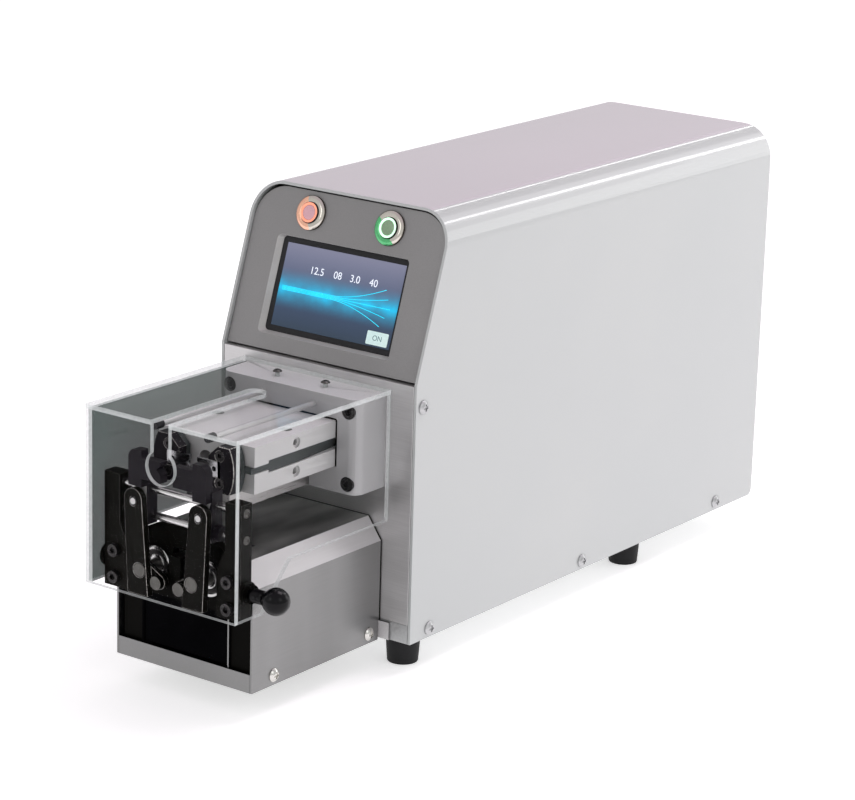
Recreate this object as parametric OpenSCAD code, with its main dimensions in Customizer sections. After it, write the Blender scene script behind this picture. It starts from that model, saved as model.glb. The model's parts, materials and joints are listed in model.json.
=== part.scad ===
// Bench wire stripping machine: a sheet metal housing with a leaning screen panel, a stripping
// head that slides out of the front plate, and a clamp unit under a clear guard.
// X runs to the right, Y to the rear, Z up. Inside the modules x = 0 is the middle of the machine,
// y = 0 the front plate's face and z = 0 the housing's bottom edge. home moves all of it so that
// the origin lies on the floor under the middle of the machine.

/* [Housing] */
// Width of the housing cover over its sides
housing_w = 165; // [156:1:190]
// Height of the cover from its bottom edge to its top
housing_h = 287; // [270:1:330]
// Length of the cover from the front plate to its rear edge
housing_len = 437; // [420:1:560]
// Thickness of the folded cover sheet
cover_t = 2; // [1.5:0.1:3]
// Radius of the two long top edges of the cover
corner_r = 24; // [14:1:32]
// Height at which the front starts to lean back
bend_h = 178.2; // [176:0.2:195]
// How far the leaning front runs back at the top
lean_run = 36; // [24:1:60]
// Thickness of the base plate
base_plate_t = 13; // [12:0.5:16]
// Thickness of the front plate
front_plate_t = 15; // [12:0.5:18]
// Height of the rubber feet
foot_h = 21; // [12:1:40]
// Radius of a rubber foot at its top
foot_r = 12; // [8:0.5:16]

/* [Leaning panel] */
// Distance from the housing's side to the screen window
window_side = 28.75; // [27:0.25:36]
// Distance from the bend to the lower edge of the window along the panel
window_low = 14.75; // [13:0.25:20]
// Distance from the upper edge of the window to the middle of the buttons
window_up = 17.75; // [15:0.25:20]
// Distance from the top of the leaning front to the middle of the buttons
button_down = 17.6; // [16:0.1:20]
// Distance of each button from the middle of the panel
button_x = 33; // [26:0.5:42]
// Radius of a button head
button_r = 11; // [9:0.25:12]
// Travel of a button
button_travel = 2; // [1:0.1:2.5]

/* [Stripping head] */
// Distance of the cable axis below the bend of the front
axis_drop = 40.2; // [38:0.1:42]
// Width of the sliding head
head_w = 80; // [74:1:82]
// Height of the sliding head
head_h = 31; // [29:0.5:32]
// Distance of the head's front face behind the faces of the clamp posts
head_room = 33; // [31:0.5:39]
// Travel of the head into the housing
head_travel = 40; // [10:1:45]
// Radius of the round sides of the blade holders
holder_r = 33.5; // [31:0.5:36]
// Opening between the blades at rest
blade_gap = 6; // [4:0.1:7]
// Turn of each blade arm from open to closed, in degrees
arm_swing = 2.7; // [1:0.1:3]

/* [Clamp unit] */
// Distance of the clamp posts' front faces behind the guard's face
clamp_room = 12; // [10:0.5:14]
// Distance of the lever pivots below the cable axis
pivot_drop = 69.5; // [69:0.5:71]
// Distance of each lever pivot from the middle
pivot_x = 21.75; // [21:0.25:22.5]
// Distance below the cable axis of the jaw pins that the levers push
jaw_pin_drop = 24.4; // [24:0.2:25.4]
// Distance of each jaw pin from the middle with the jaws open
jaw_pin_x = 27.1; // [26:0.1:28]
// Travel of each jaw
jaw_travel = 5; // [1:0.25:5]
// Diameter of the two cross rods
cross_rod_d = 5; // [4:0.25:6]
// Diameter of the ball on the knob
ball_d = 18; // [14:0.5:24]

/* [Guard] */
// Width of the clear guard
guard_w = 125.4; // [123:0.2:132]
// Reach of the guard in front of the front plate
guard_reach = 157; // [156.4:0.2:165]
// Thickness of the clear sheet
guard_t = 3; // [2:0.25:4]
// Width of the slot that a cable drops through
slot_w = 14.5; // [8:0.5:20]
// Radius of the round end of the slot
keyhole_r = 11.5; // [10.5:0.5:14]

/* [Base of the clamp unit] */
// Width of the base box
base_w = 114.4; // [114:0.2:118]
// Distance of the base box's front behind the faces of the clamp posts
base_room = 12; // [11:0.5:13]
// Distance of the base box's flat top below the cable axis
base_drop = 55; // [53:0.5:58]
// Thickness of its sheet metal
sheet_t = 1.5; // [1:0.1:1.8]

/* [Hidden] */
$fn = 64;

// Shared clearances and cuts
over = 1;               // overrun of every cut
gap = 0.4;              // room between neighbouring plates
slide_gap = 0.3;        // room round sliding blocks
run = 0.04;             // radial clearance of shafts that turn or slide
seat = 0.02;            // radial clearance of parts that stay put
key_share = 0.6;        // depth of a hexagon socket as a share of the screw head

// Housing shell
in_w = housing_w - 2 * cover_t;
plate_w = in_w - 2 * gap;
rear_r = 5;             // rounding of the cover's rear bottom corners
lean_rise = housing_h - bend_h;
lean_len = sqrt(lean_run * lean_run + lean_rise * lean_rise);
lean_deg = atan2(lean_run, lean_rise);
rear_t = 2;
rear_inset = 3;
rear_y = housing_len - rear_inset;
bend_gap = 0.9;         // room under the leaning panel
front_top = bend_h - bend_gap;

// Heights and reaches that the front and the guard give to the head and the clamp unit
axis_h = bend_h - axis_drop;
pivot_h = axis_h - pivot_drop;
jaw_pin_h = axis_h - jaw_pin_drop;
base_top = axis_h - base_drop;
clamp_reach = guard_reach - clamp_room;
head_reach = clamp_reach - head_room;
base_len = clamp_reach - base_room;

// Screws that hold the cover
cover_screw_r = 2.5;
cover_screw_len = 10;
cover_head_r = 4.75;
cover_head_h = 3;
cover_screw_mid = base_plate_t / 2;
cover_upper_drop = 15.7;
cover_upper_h = bend_h - cover_upper_drop;
cover_screw_share = [0.0476, 0.4645, 0.8787];

// Feet
foot_side = 18.1;
foot_x = plate_w / 2 - foot_side;
foot_front_y = 20;
foot_rear_share = 0.664;
foot_taper = 1.5;
foot_low_r = foot_r - foot_taper;
foot_screw_r = 3;

// Leaning panel, measured from the bend: x across, y into the panel, z up along the panel
panel_inset = 2.5;
panel_t = 2.5;
panel_low = 1.5;
panel_top = lean_len - cover_t - 2 * gap;
panel_back = panel_inset + panel_t;
window_r = 3;
lip_t = 1.5;
lip_d = 1.4;
button_mid = lean_len - button_down;
window_w = housing_w - 2 * window_side;
window_h = button_mid - window_up - window_low;
window_mid = window_low + window_h / 2;
module_face = panel_back + lip_d;
module_wall = 5;
module_d = 24;
glass_border = 4;
glass_t = 1.1;
glass_w = window_w - 2 * glass_border;
glass_h = window_h - 2 * glass_border;
button_hole_r = 9.6;
button_head_h = 2.5;
button_bevel = 1.2;
button_body_len = 26;
button_nut_r = 13;
button_nut_t = 4;
cap_r = 7.2;
cap_proud = 0.9;
cap_len = 6;

// Flange block on the front plate
flange_w = 115.4;
flange_reach = 30;
flange_up = 31.5;
flange_down = 33;
flange_top = axis_h + flange_up;
flange_low = axis_h - flange_down;
flange_r = 8;
flange_screw_x = 49.8;
flange_screw_up = 23;
flange_screw_down = 26;
m6_r = 3;
m6_head_r = 5;
m6_head_h = 6;
m6_key_r = 2.9;
m6_len = 38;
head_fit = 0.6;
head_fit_r = 1.2;

// Guide beam under the head
beam_w = 36;
beam_h = 17;
beam_back = 2;
beam_front = head_reach - beam_back;
beam_rear = 30;
head_low = axis_h - head_h / 2;
head_up = axis_h + head_h / 2;
beam_top = head_low - slide_gap;
beam_low = beam_top - beam_h;
beam_fit = 0.5;

// Rods above the head
top_rod_x = 21.8;
top_rod_up = 23.5;
top_rod_h = axis_h + top_rod_up;
top_rod_r = 1.9;
top_rod_back = 11;
top_rod_reach = clamp_reach - top_rod_back;
top_rod_hold = 14;
rod_cap_r = 2.9;
rod_cap_len = 7;
rod_cap_grip = 4;

// Inside of the head
head_rear = 40;
slot_half = 4.1;        // half height of the wide side slots
slot_thin = 2.2;        // half height of the narrow front part
slot_front = 14;        // length of the narrow front part
slot_step = head_reach - slot_front;
core_w = 34;            // solid core between the side slots
bore_r = 6;             // bore that takes the cable end
cone_rod_r = 4;
cone_tip_r = 4.6;
cone_len = 12;
cone_travel = 6;
cone_room_r = 10.5;     // radius of the room round the cone
tail_y = -20;           // where the arms' tails meet the cone
tail_gap = 0.6;
pocket_rear = 4;
arm_pin_x = 28.4;
arm_pin_back = 45;
arm_pin_y = arm_pin_back - head_reach;
arm_pin_r = 4;
arm_pin_sink = 2.5;
arm_fit = 0.25;         // room above and below the arms
cone_slope = (tail_y - arm_pin_y) * tan(arm_swing) / cone_travel;
cone_r = cone_tip_r + cone_len * cone_slope;
side_hole_r = 2.3;
side_hole_sink_r = 3.6;
side_hole_sink = 1.6;
side_hole_deep = 8;
side_hole_up = 9.6;
side_hole_ahead = 3;
side_hole_y = arm_pin_y - side_hole_ahead;

// Blade arms and holders
arm_out = 39.2;
arm_in = 20;
arm_tail_out = 35;
arm_tail_w = 8;
arm_waist = 12;
tail_tip_r = 3;
holder_gap = 24;
holder_cut_w = 8;       // cut corners next to the cable axis
holder_cut_h = 7.5;
arm_step_gap = 1;       // room for the corners of the swinging arms
arm_head_t = 4;
arm_head_room = 1.2;
holder_t = 7.4;
arm_head_y = -head_reach - arm_head_room - arm_head_t;
holder_y = arm_head_y - holder_t;
blade_t = 2.2;
blade_h = 10;
blade_len = 19;
blade_notch = 3;
blade_hole_r = 1.6;
blade_hole_share = 0.75;
holder_screw_x = 21.5;
holder_screw_z = 9;
holder_screw_r = 2;
holder_head_r = 3.5;
holder_head_h = 3;
holder_key_r = 1.7;

// Carriage, screw and motors behind the front plate
carriage_t = 16;
carriage_w = 64;
carriage_h = 38;
tongue_w = 28;
screw_drop = 24;
screw_h = axis_h - screw_drop;
screw_r = 5;
screw_front = 32;
bed_w = 70;
bed_top = beam_low;
bed_t = 18;
bed_front = 18;
bed_spare = 6;
bed_leg = 20;
bracket_t = 8;
motor_w = 56.4;
motor_len = 56;
motor_r = 5;
motor_grip = 10;        // length of screw held in the motor
closer_r = 17;
closer_len = 44;
bed_rear = head_rear + carriage_t + closer_len + head_travel + bed_spare;

// Clamp unit
post_w = 13;
post_d = 10.6;
post_out = 57;
post_low_drop = 88;
post_low = axis_h - post_low_drop;
post_top_drop = 11.4;
post_top = axis_h - post_top_drop;
post_foot_w = 19.5;
post_step_drop = 57;
post_step_low = axis_h - post_step_drop;
post_step_rise = 13;
post_step_top = post_step_low + post_step_rise;
post_rear = clamp_reach - post_d;
plate_face = post_rear;
clamp_plate_t = 6;
plate_arch_r = 62;
plate_arch_rise = 17;
plate_arch_top = base_top + plate_arch_rise;
plate_low_gap = 2;
plate_low = post_low - plate_low_gap;
leg_t = 2;
leg_inset = 3;
rod_upper_drop = 17.4;
rod_upper_h = axis_h - rod_upper_drop;
rod_lower_drop = 35;
rod_lower_h = axis_h - rod_lower_drop;
cross_rod_y = -(post_rear + post_d / 2);
clamp_screw_r = 2.5;
clamp_head_r = 4.2;
clamp_head_h = 3.4;
clamp_key_r = 2.2;
clamp_screw_len = 12;
post_screw_x = 47.6;
post_screw_rise = 7;
post_screw_low = post_low + post_screw_rise;
post_screw_pitch = 18;
post_screw_high = post_screw_low + post_screw_pitch;
rod_screw_r = 1.5;
rod_screw_head_r = 3;
rod_screw_head_h = 1.6;
rod_screw_len = 8;
hub_r = 7.8;
hub_thread_r = 4.7;
hub_face = base_w / 2 + gap / 4;
hub_out = 59.3;
hub_in = 50;
knob_r = 3;
knob_neck_r = 4.7;
knob_neck_len = 9;
knob_collar_r = 4.8;
knob_mid = 81.5;
knob_end = 42;

// Jaws and levers
jaw_rear = post_rear + slide_gap;
jaw_leg_w = 12;
jaw_leg_gap = 6;
jaw_leg_low = rod_lower_h - jaw_leg_gap;
jaw_head_gap = 8.6;
jaw_head_low = rod_upper_h + jaw_head_gap;
jaw_head_h = 18.8;
jaw_head_t = 6.5;
jaw_head_r = 6;
jaw_finger_h = 14;
jaw_face = 5.2;
jaw_out = 32.3;
jaw_ahead = 5;
jaw_front = clamp_reach + jaw_ahead;
jaw_notch = 3.4;
jaw_boss_r = 5.2;
jaw_boss_len = 5;
jaw_pin_r = 2.2;
lever_t = 5;
lever_ahead = 6.5;
lever_face = clamp_reach + lever_ahead;
lever_rear = lever_face - lever_t;
lever_in = 7.35;        // reach of the lever's foot towards the middle
lever_out = 9.65;
lever_drop = 16.5;
lever_top_r = 7.35;
lever_rise = 1.25;
jaw_neck_gap = 1.3;
jaw_neck_low = jaw_pin_h + lever_rise + lever_top_r + jaw_neck_gap;
lever_tilt = atan2(jaw_pin_x - pivot_x, jaw_pin_h - pivot_h);
lever_arm = norm([jaw_pin_x - pivot_x, jaw_pin_h - pivot_h]);
lever_slot = 1.4;
lever_slot_gap = 0.3;
crank_t = 4;
crank_r = 5;
crank_rear = lever_rear - crank_t;
link_x = 9.45;
link_drop = 6.5;
link_h = pivot_h - link_drop;
link_r = 2;
link_head_r = 4.5;
link_head_t = 3.4;
link_swing = lever_tilt - atan2(jaw_pin_x - jaw_travel - pivot_x, jaw_pin_h - pivot_h);
link_gap = 0.3;
shaft_r = 4;
shaft_head_r = 4.7;
shaft_head_t = 2.4;
bearing_r = 12;
bearing_t = 7;
bearing_proud = 1;
bearing_groove_out = 9.6;
bearing_groove_in = 6.6;
crosshead_t = 5.4;
crosshead_face = crank_rear - gap;
crosshead_w = 27;
crosshead_drop = 12;
crosshead_low = pivot_h - crosshead_drop;
crosshead_rise = 11.5;
crosshead_top = pivot_h + crosshead_rise;
crosshead_step = link_h + link_head_r;
web_w = 10;
web_h = 7;
web_back = 45;
web_rear = clamp_reach - web_back;
web_room = 3;
actuator_w = 30;
actuator_h = 20;
actuator_drop = 18.5;
actuator_low = pivot_h - actuator_drop;
actuator_rod_r = 3;
actuator_gap = 0.6;
actuator_stroke = 5;
actuator_back = 33;
actuator_y = actuator_back - clamp_reach;

// Base box
base_low = -1.5;
chamfer_w = 10.9;
chamfer_h = 15.2;
lip_h = 12.5;
bay_w = 71;
bay_t = 1.2;
bay_room = 35;
bay_top = base_top - bay_room;
tab_w = 8.5;
tab_h = 12;
base_screw_r = 2;
base_head_r = 4.6;
base_head_h = 2.8;
base_screw_len = 8;
base_screw_h = 5.3;
base_screw_front = 22;
base_screw_rear = 12;
base_screw_y = [base_screw_front - base_len, -base_screw_rear];
chute_w = 60;
chute_rim = 7;
chute_front = base_len - chute_rim;
chute_len = 28;
chute_rear = chute_front - chute_len;
tray_low = 12;
tray_room = 2;
tray_h = bay_top - tray_low - tray_room;
tray_rear = 22;
tray_wall = 1.5;
runner_w = 6;

// Rear panel and electrics
fan_side = 46.5;
fan_x = in_w / 2 - fan_side;
fan_down = 87;
fan_h = housing_h - fan_down;
fan_w = 60;
fan_d = 15;
fan_r = 27;
hub_fan_r = 12;
blade_count = 7;
fan_blade_t = 1.4;
fan_blade_deg = 38;
fan_axle_r = 2;
fan_axle_len = 11;
fan_blade_w = 11.2;
grille_bar = 2.2;
grille_rings = 4;
inlet_side = 42.5;
inlet_x = inlet_side - in_w / 2;
inlet_h = 60;
inlet_w = 28;
inlet_tall = 22;
inlet_deep = 24;
inlet_flange_t = 3;
inlet_flange_w = 50;
socket_w = 22;
socket_tall = 16;
socket_deep = 16;
pin_w = 2;
pin_l = 11;
rocker_pitch = 46;
rocker_x = inlet_x + rocker_pitch;
rocker_w = 14;
rocker_tall = 21;
rocker_t = 7;
rocker_frame = 2.5;
rocker_rest = 10;
rocker_room = 0.5;
rocker_y = rear_y - rocker_t / 2;
frame_deep = 10;
frame_rim = 1.5;
psu_w = 50;
psu_len = 150;
psu_h = 45;
psu_side = 6.5;
psu_x = in_w / 2 - psu_side - psu_w;
psu_y = 250;
board_t = 1.6;
board_len = 140;
board_h = 110;
board_y = 200;
board_low = 60;
board_off = 6;
chip_t = 6;
chip_y_share = [0.15, 0.5, 0.8];
chip_z_share = [0.25, 0.7];
chip_half_share = [0.08, 0.12];
stud_share = [0.06, 0.94];
stud_r = 3.2;

// Place on the floor: the outermost points of the whole machine give the origin
right_end = max(knob_mid + ball_d / 2, housing_w / 2 + cover_head_h);
left_end = housing_w / 2 + cover_head_h;
front_end = guard_reach;
rear_end = rear_y + inlet_flange_t;
far_end = max(housing_len, rear_end);
home = [(left_end - right_end) / 2, (front_end - far_end) / 2, foot_h];

module along_y(y0, len) translate([0, y0 + len, 0]) rotate([90, 0, 0]) linear_extrude(len) children();
module along_x(x0, len) translate([x0, 0, 0]) rotate([90, 0, 90]) linear_extrude(len) children();
module rod_y(x, z, y0, len, r) translate([x, y0, z]) rotate([-90, 0, 0]) cylinder(h = len, r = r);
module rod_x(y, z, x0, len, r) translate([x0, y, z]) rotate([0, 90, 0]) cylinder(h = len, r = r);
module block(x0, x1, y0, y1, z0, z1) translate([x0, y0, z0]) cube([x1 - x0, y1 - y0, z1 - z0]);
module wide(w, y0, y1, z0, z1) block(-w / 2, w / 2, y0, y1, z0, z1);
module sides() {
    children();
    mirror([1, 0, 0]) children();
}
module lean() translate([0, 0, bend_h]) rotate([-lean_deg, 0, 0]) children();
module lean_y(x, u, y0, len, r) translate([x, y0, u]) rotate([-90, 0, 0]) cylinder(h = len, r = r);

// Rectangle with round corners about its own middle
module round_rect(w, h, r) {
    square([w - 2 * r, h], center = true);
    square([w, h - 2 * r], center = true);
    for (x = [-1, 1], y = [-1, 1]) translate([x * (w / 2 - r), y * (h / 2 - r)]) circle(r);
}
// Upright sheet with two round top corners, standing on z = 0
module arch(w, h, r) {
    translate([-w / 2, 0]) square([w, h - r]);
    translate([-w / 2 + r, 0]) square([w - 2 * r, h]);
    for (s = [-1, 1]) translate([s * (w / 2 - r), h - r]) circle(r);
}
// Screw along +X whose head stands to the left of x = 0 and has a cross recess
module pan_screw(r, len, head_r, head_h) {
    slot = head_r / 3;
    difference() {
        union() {
            rotate([0, 90, 0]) cylinder(h = len, r = r);
            intersection() {
                translate([-head_h, 0, 0]) rotate([0, 90, 0]) cylinder(h = head_h, r = head_r);
                translate([head_r - head_h / 2, 0, 0]) sphere(head_r + head_h / 2);
            }
        }
        for (a = [0, 90]) rotate([a, 0, 0]) {
            translate([-head_h - over, -slot / 2, -head_r / 2]) cube([head_h / 2 + over, slot, head_r]);
        }
    }
}
// Socket head screw along +Y, its head in front of y = 0
module cap_screw(r, len, head_r, head_h, key_r) difference() {
    union() {
        rod_y(0, 0, 0, len, r);
        rod_y(0, 0, -head_h, head_h, head_r);
    }
    translate([0, -head_h - over, 0]) rotate([-90, 0, 0])
        cylinder(h = head_h * key_share + over, r = key_r, $fn = 6);
}

// Positions of the cover screws: distance from the front plate and height
function cover_screws_at() = concat(
    [[front_plate_t / 2, cover_upper_h]],
    [for (s = cover_screw_share) [s * housing_len, cover_screw_mid]]);
foot_at = [for (x = [-foot_x, foot_x], y = [foot_front_y, foot_rear_share * housing_len]) [x, y]];

module base_plate() color("silver") translate(home) difference() {
    wide(plate_w, 0, rear_y - gap, 0, base_plate_t);
    for (p = cover_screws_at(), s = [0, 1]) mirror([s, 0, 0])
        rod_x(p[0], p[1], housing_w / 2 - cover_screw_len - over,
            cover_screw_len + over, cover_screw_r + seat);
    for (p = foot_at) translate([p[0], p[1], -over])
        cylinder(h = base_plate_t / 2 + over, r = foot_screw_r + seat);
}

module cover_side() {
    polygon([[0, 0], [housing_len - rear_r, 0], [housing_len, rear_r], [housing_len, housing_h],
        [lean_run, housing_h], [0, bend_h]]);
    translate([housing_len - rear_r, rear_r]) circle(rear_r);
}

module housing_cover() color([0.93, 0.94, 0.95]) translate(home) difference() {
    intersection() {
        along_y(0, housing_len) difference() {
            arch(housing_w, housing_h, corner_r);
            translate([0, -over]) arch(in_w, housing_h - cover_t + over, corner_r - cover_t);
        }
        along_x(-housing_w, 2 * housing_w) cover_side();
    }
    for (p = cover_screws_at()) rod_x(p[0], p[1], -housing_w, 2 * housing_w, cover_screw_r + run);
}

module front_plate() color([0.72, 0.72, 0.71]) translate(home) difference() {
    wide(plate_w, 0, front_plate_t, base_plate_t, front_top);
    wide(head_w + 2 * head_fit, -over, front_plate_t + over, head_low - head_fit, head_up + head_fit);
    wide(beam_w + 2 * beam_fit, -over, front_plate_t + over, beam_low, head_low);
    for (p = cover_screws_at(), s = [0, 1]) mirror([s, 0, 0])
        rod_x(p[0], p[1], housing_w / 2 - cover_screw_len - over,
            cover_screw_len + over, cover_screw_r + seat);
    flange_pattern() rod_y(0, 0, -over, front_plate_t + 2 * over, m6_r + seat);
}
module flange_pattern() sides() {
    translate([flange_screw_x, 0, axis_h + flange_screw_up]) children();
    translate([flange_screw_x, 0, axis_h - flange_screw_down]) children();
}

module rear_panel() color([0.78, 0.79, 0.8]) translate(home) difference() {
    along_y(rear_y - rear_t, rear_t) translate([0, base_plate_t + gap])
        arch(plate_w, housing_h - cover_t - gap - base_plate_t - gap, corner_r);
    translate([fan_x, 0, fan_h]) for (i = [0 : grille_rings - 1])
        along_y(rear_y - rear_t - over, rear_t + 2 * over)
            grille_ring(fan_r * (i + 1) / grille_rings - grille_bar / 2, fan_r / grille_rings - grille_bar);
    translate([inlet_x, rear_y - rear_t - over, inlet_h]) along_y(0, rear_t + 2 * over)
        square([inlet_w + gap, inlet_tall + gap], center = true);
    translate([rocker_x, rear_y - rear_t - over, inlet_h]) along_y(0, rear_t + 2 * over)
        square([rocker_w + 2 * rocker_frame + gap, rocker_tall + 2 * rocker_frame + gap], center = true);
}
// One ring of air slots with four spokes left standing
module grille_ring(r, w) difference() {
    circle(r);
    circle(r - w);
    for (a = [45, 135]) rotate(a) square([3 * fan_r, grille_bar], center = true);
}

module cover_screws() color("gainsboro") translate(home) for (p = cover_screws_at(), s = [0, 1])
    mirror([s, 0, 0]) translate([housing_w / 2, p[0], p[1]]) mirror([1, 0, 0])
        pan_screw(cover_screw_r, cover_screw_len, cover_head_r, cover_head_h);

module rubber_feet() color([0.1, 0.1, 0.1]) translate(home)
    for (p = foot_at) translate([p[0], p[1], -foot_h]) {
    cylinder(h = foot_h, r1 = foot_low_r, r2 = foot_r);
    translate([0, 0, foot_h / 2]) cylinder(h = foot_h / 2 + base_plate_t / 3, r = foot_screw_r);
}

module display_panel() color([0.5, 0.5, 0.51]) translate(home) lean() difference() {
    union() {
        along_y(panel_inset, panel_t) translate([0, panel_low])
            arch(plate_w, panel_top - panel_low, corner_r);
        along_y(panel_back, lip_d) translate([0, window_mid])
            round_rect(window_w + 2 * lip_t, window_h + 2 * lip_t, window_r + lip_t);
    }
    along_y(panel_inset - over, panel_t + lip_d + 2 * over) translate([0, window_mid])
        round_rect(window_w, window_h, window_r);
    for (s = [-1, 1]) lean_y(s * button_x, button_mid, panel_inset - over, panel_t + 2 * over, button_hole_r);
}

module display_module() color([0.07, 0.07, 0.08]) translate(home) lean() difference() {
    along_y(module_face, module_d) translate([0, window_mid])
        square([window_w + 2 * module_wall, window_h + 2 * module_wall], center = true);
    along_y(module_face - over, glass_t + over) translate([0, window_mid])
        square([glass_w + 2 * seat, glass_h + 2 * seat], center = true);
}

module touch_glass() color([0.1, 0.16, 0.35]) translate(home) lean() along_y(module_face, glass_t)
    translate([0, window_mid]) square([glass_w, glass_h], center = true);

module button_bodies() color("gainsboro") translate(home) lean() for (s = [-1, 1])
    translate([s * button_x, 0, button_mid]) difference() {
        union() {
            translate([0, panel_inset, 0]) rotate([90, 0, 0]) {
                cylinder(h = button_head_h - button_bevel, r = button_r);
                translate([0, 0, button_head_h - button_bevel])
                    cylinder(h = button_bevel, r1 = button_r, r2 = button_r - button_bevel);
            }
            lean_y(0, 0, panel_inset - seat, button_body_len, button_hole_r - 2 * run);
            translate([0, panel_back, 0]) rotate([-90, 0, 0])
                cylinder(h = button_nut_t, r = button_nut_r, $fn = 6);
        }
        lean_y(0, 0, panel_inset - button_head_h - over, cap_len + button_travel + over, cap_r + run);
    }

module button_cap() lean_y(0, 0, panel_inset - button_head_h - cap_proud, cap_len, cap_r);
module stop_cap() color([0.85, 0.3, 0.15]) translate(home)
    lean() translate([-button_x, 0, button_mid]) button_cap();
module start_cap() color([0.2, 0.7, 0.3]) translate(home)
    lean() translate([button_x, 0, button_mid]) button_cap();

// Clear guard: front, two sides and a top, open below and at the back
guard_top = flange_top + guard_t;
guard_drop = 30.5;
guard_low = base_top - guard_drop;
guard_side_low = base_top - gap;
guard_step_back = 55;
guard_step_y = guard_reach - guard_step_back;
guard_step_len = 26.5;
guard_step_low_y = guard_step_y + guard_step_len;
guard_rear_y = 1;
slot_end = 57;
keyhole_up = 4;         // keyhole centre above the cable axis
stem_hole_r = 6;
guard_screw_x = 20.3;
guard_screw_y = 16.5;
guard_screw_r = 1.5;
guard_screw_len = 9;
guard_head_r = 3.2;
guard_head_h = 1.8;

module guard_side_outline() polygon([
    [-guard_reach, guard_low], [-guard_step_low_y, guard_low], [-guard_step_y, guard_side_low],
    [-guard_rear_y, guard_side_low], [-guard_rear_y, guard_top], [-guard_reach, guard_top]]);

module guard() color([0.75, 0.85, 0.83, 0.35]) translate(home) difference() {
    intersection() {
        difference() {
            wide(guard_w, -guard_reach, -guard_rear_y, guard_low, guard_top);
            wide(guard_w - 2 * guard_t, -guard_reach + guard_t, over, guard_low - over, guard_top - guard_t);
        }
        along_x(-guard_w, 2 * guard_w) guard_side_outline();
    }
    along_y(-guard_reach - over, guard_t + 2 * over) {
        translate([0, axis_h + keyhole_up]) circle(keyhole_r);
        translate([-slot_w / 2, axis_h]) square([slot_w, guard_top]);
    }
    wide(slot_w, -guard_reach - over, -slot_end - slot_w / 2, guard_top - guard_t - over, guard_top + over);
    translate([0, -slot_end - slot_w / 2, guard_top - guard_t - over])
        cylinder(h = guard_t + 2 * over, r = slot_w / 2);
    rod_x(cross_rod_y, pivot_h, 0, guard_w, stem_hole_r);
    for (x = [-guard_screw_x, guard_screw_x]) translate([x, -guard_screw_y, guard_top - guard_t - over])
        cylinder(h = guard_t + 2 * over, r = guard_screw_r + run);
}

module guard_screws() color("gainsboro") translate(home) for (x = [-guard_screw_x, guard_screw_x])
    translate([x, -guard_screw_y, guard_top]) rotate([0, 90, 0])
        pan_screw(guard_screw_r, guard_screw_len, guard_head_r, guard_head_h);

module flange_block() color([0.82, 0.82, 0.83]) translate(home) difference() {
    translate([0, 0, flange_low]) linear_extrude(flange_top - flange_low) {
        translate([-flange_w / 2, -flange_reach + flange_r]) square([flange_w, flange_reach - flange_r]);
        translate([-flange_w / 2 + flange_r, -flange_reach]) square([flange_w - 2 * flange_r, flange_reach]);
        for (s = [-1, 1]) translate([s * (flange_w / 2 - flange_r), -flange_reach + flange_r])
            circle(flange_r);
    }
    along_y(-flange_reach - over, flange_reach + 2 * over) translate([0, axis_h])
        round_rect(head_w + 2 * head_fit, head_h + 2 * head_fit, head_fit_r);
    wide(beam_w + 2 * beam_fit, -flange_reach - over, over, flange_low - over, axis_h);
    flange_pattern() {
        rod_y(0, 0, -flange_reach - over, flange_reach + 2 * over, m6_r + seat);
        rod_y(0, 0, -flange_reach - over, m6_head_h + over, m6_head_r + 2 * run);
    }
    for (x = [-top_rod_x, top_rod_x])
        rod_y(x, top_rod_h, -flange_reach - over, top_rod_hold + over, top_rod_r + seat);
    for (x = [-guard_screw_x, guard_screw_x])
        translate([x, -guard_screw_y, flange_top - guard_screw_len + guard_t])
            cylinder(h = guard_screw_len + over, r = guard_screw_r + seat);
}

module flange_screws() color([0.15, 0.15, 0.16]) translate(home) flange_pattern()
    translate([0, -flange_reach + m6_head_h, 0]) cap_screw(m6_r, m6_len, m6_head_r, m6_head_h, m6_key_r);

module top_rods() color("gainsboro") translate(home) for (x = [-top_rod_x, top_rod_x])
    rod_y(x, top_rod_h, -top_rod_reach, top_rod_reach - flange_reach + top_rod_hold, top_rod_r);

module rod_caps() color([0.1, 0.1, 0.1]) translate(home) for (x = [-top_rod_x, top_rod_x]) difference() {
    rod_y(x, top_rod_h, -top_rod_reach - rod_cap_len + rod_cap_grip, rod_cap_len, rod_cap_r);
    rod_y(x, top_rod_h, -top_rod_reach, rod_cap_len, top_rod_r + seat);
}

module guide_beam() color([0.6, 0.6, 0.62]) translate(home)
    wide(beam_w, -beam_front, beam_rear, beam_low, beam_top);

// Room for the arms: wide slots, a narrow front part and an open middle round the cone
module arm_room(half) {
    for (s = [0, 1]) mirror([s, 0, 0]) {
        block(core_w / 2, head_w, -slot_step, pocket_rear, axis_h - half, axis_h + half);
        block(core_w / 2, head_w, -head_reach - over, -slot_step + over,
            axis_h - half + slot_half - slot_thin, axis_h + half - slot_half + slot_thin);
    }
    wide(core_w + over, tail_y - cone_len, pocket_rear, axis_h - half, axis_h + half);
}

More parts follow.
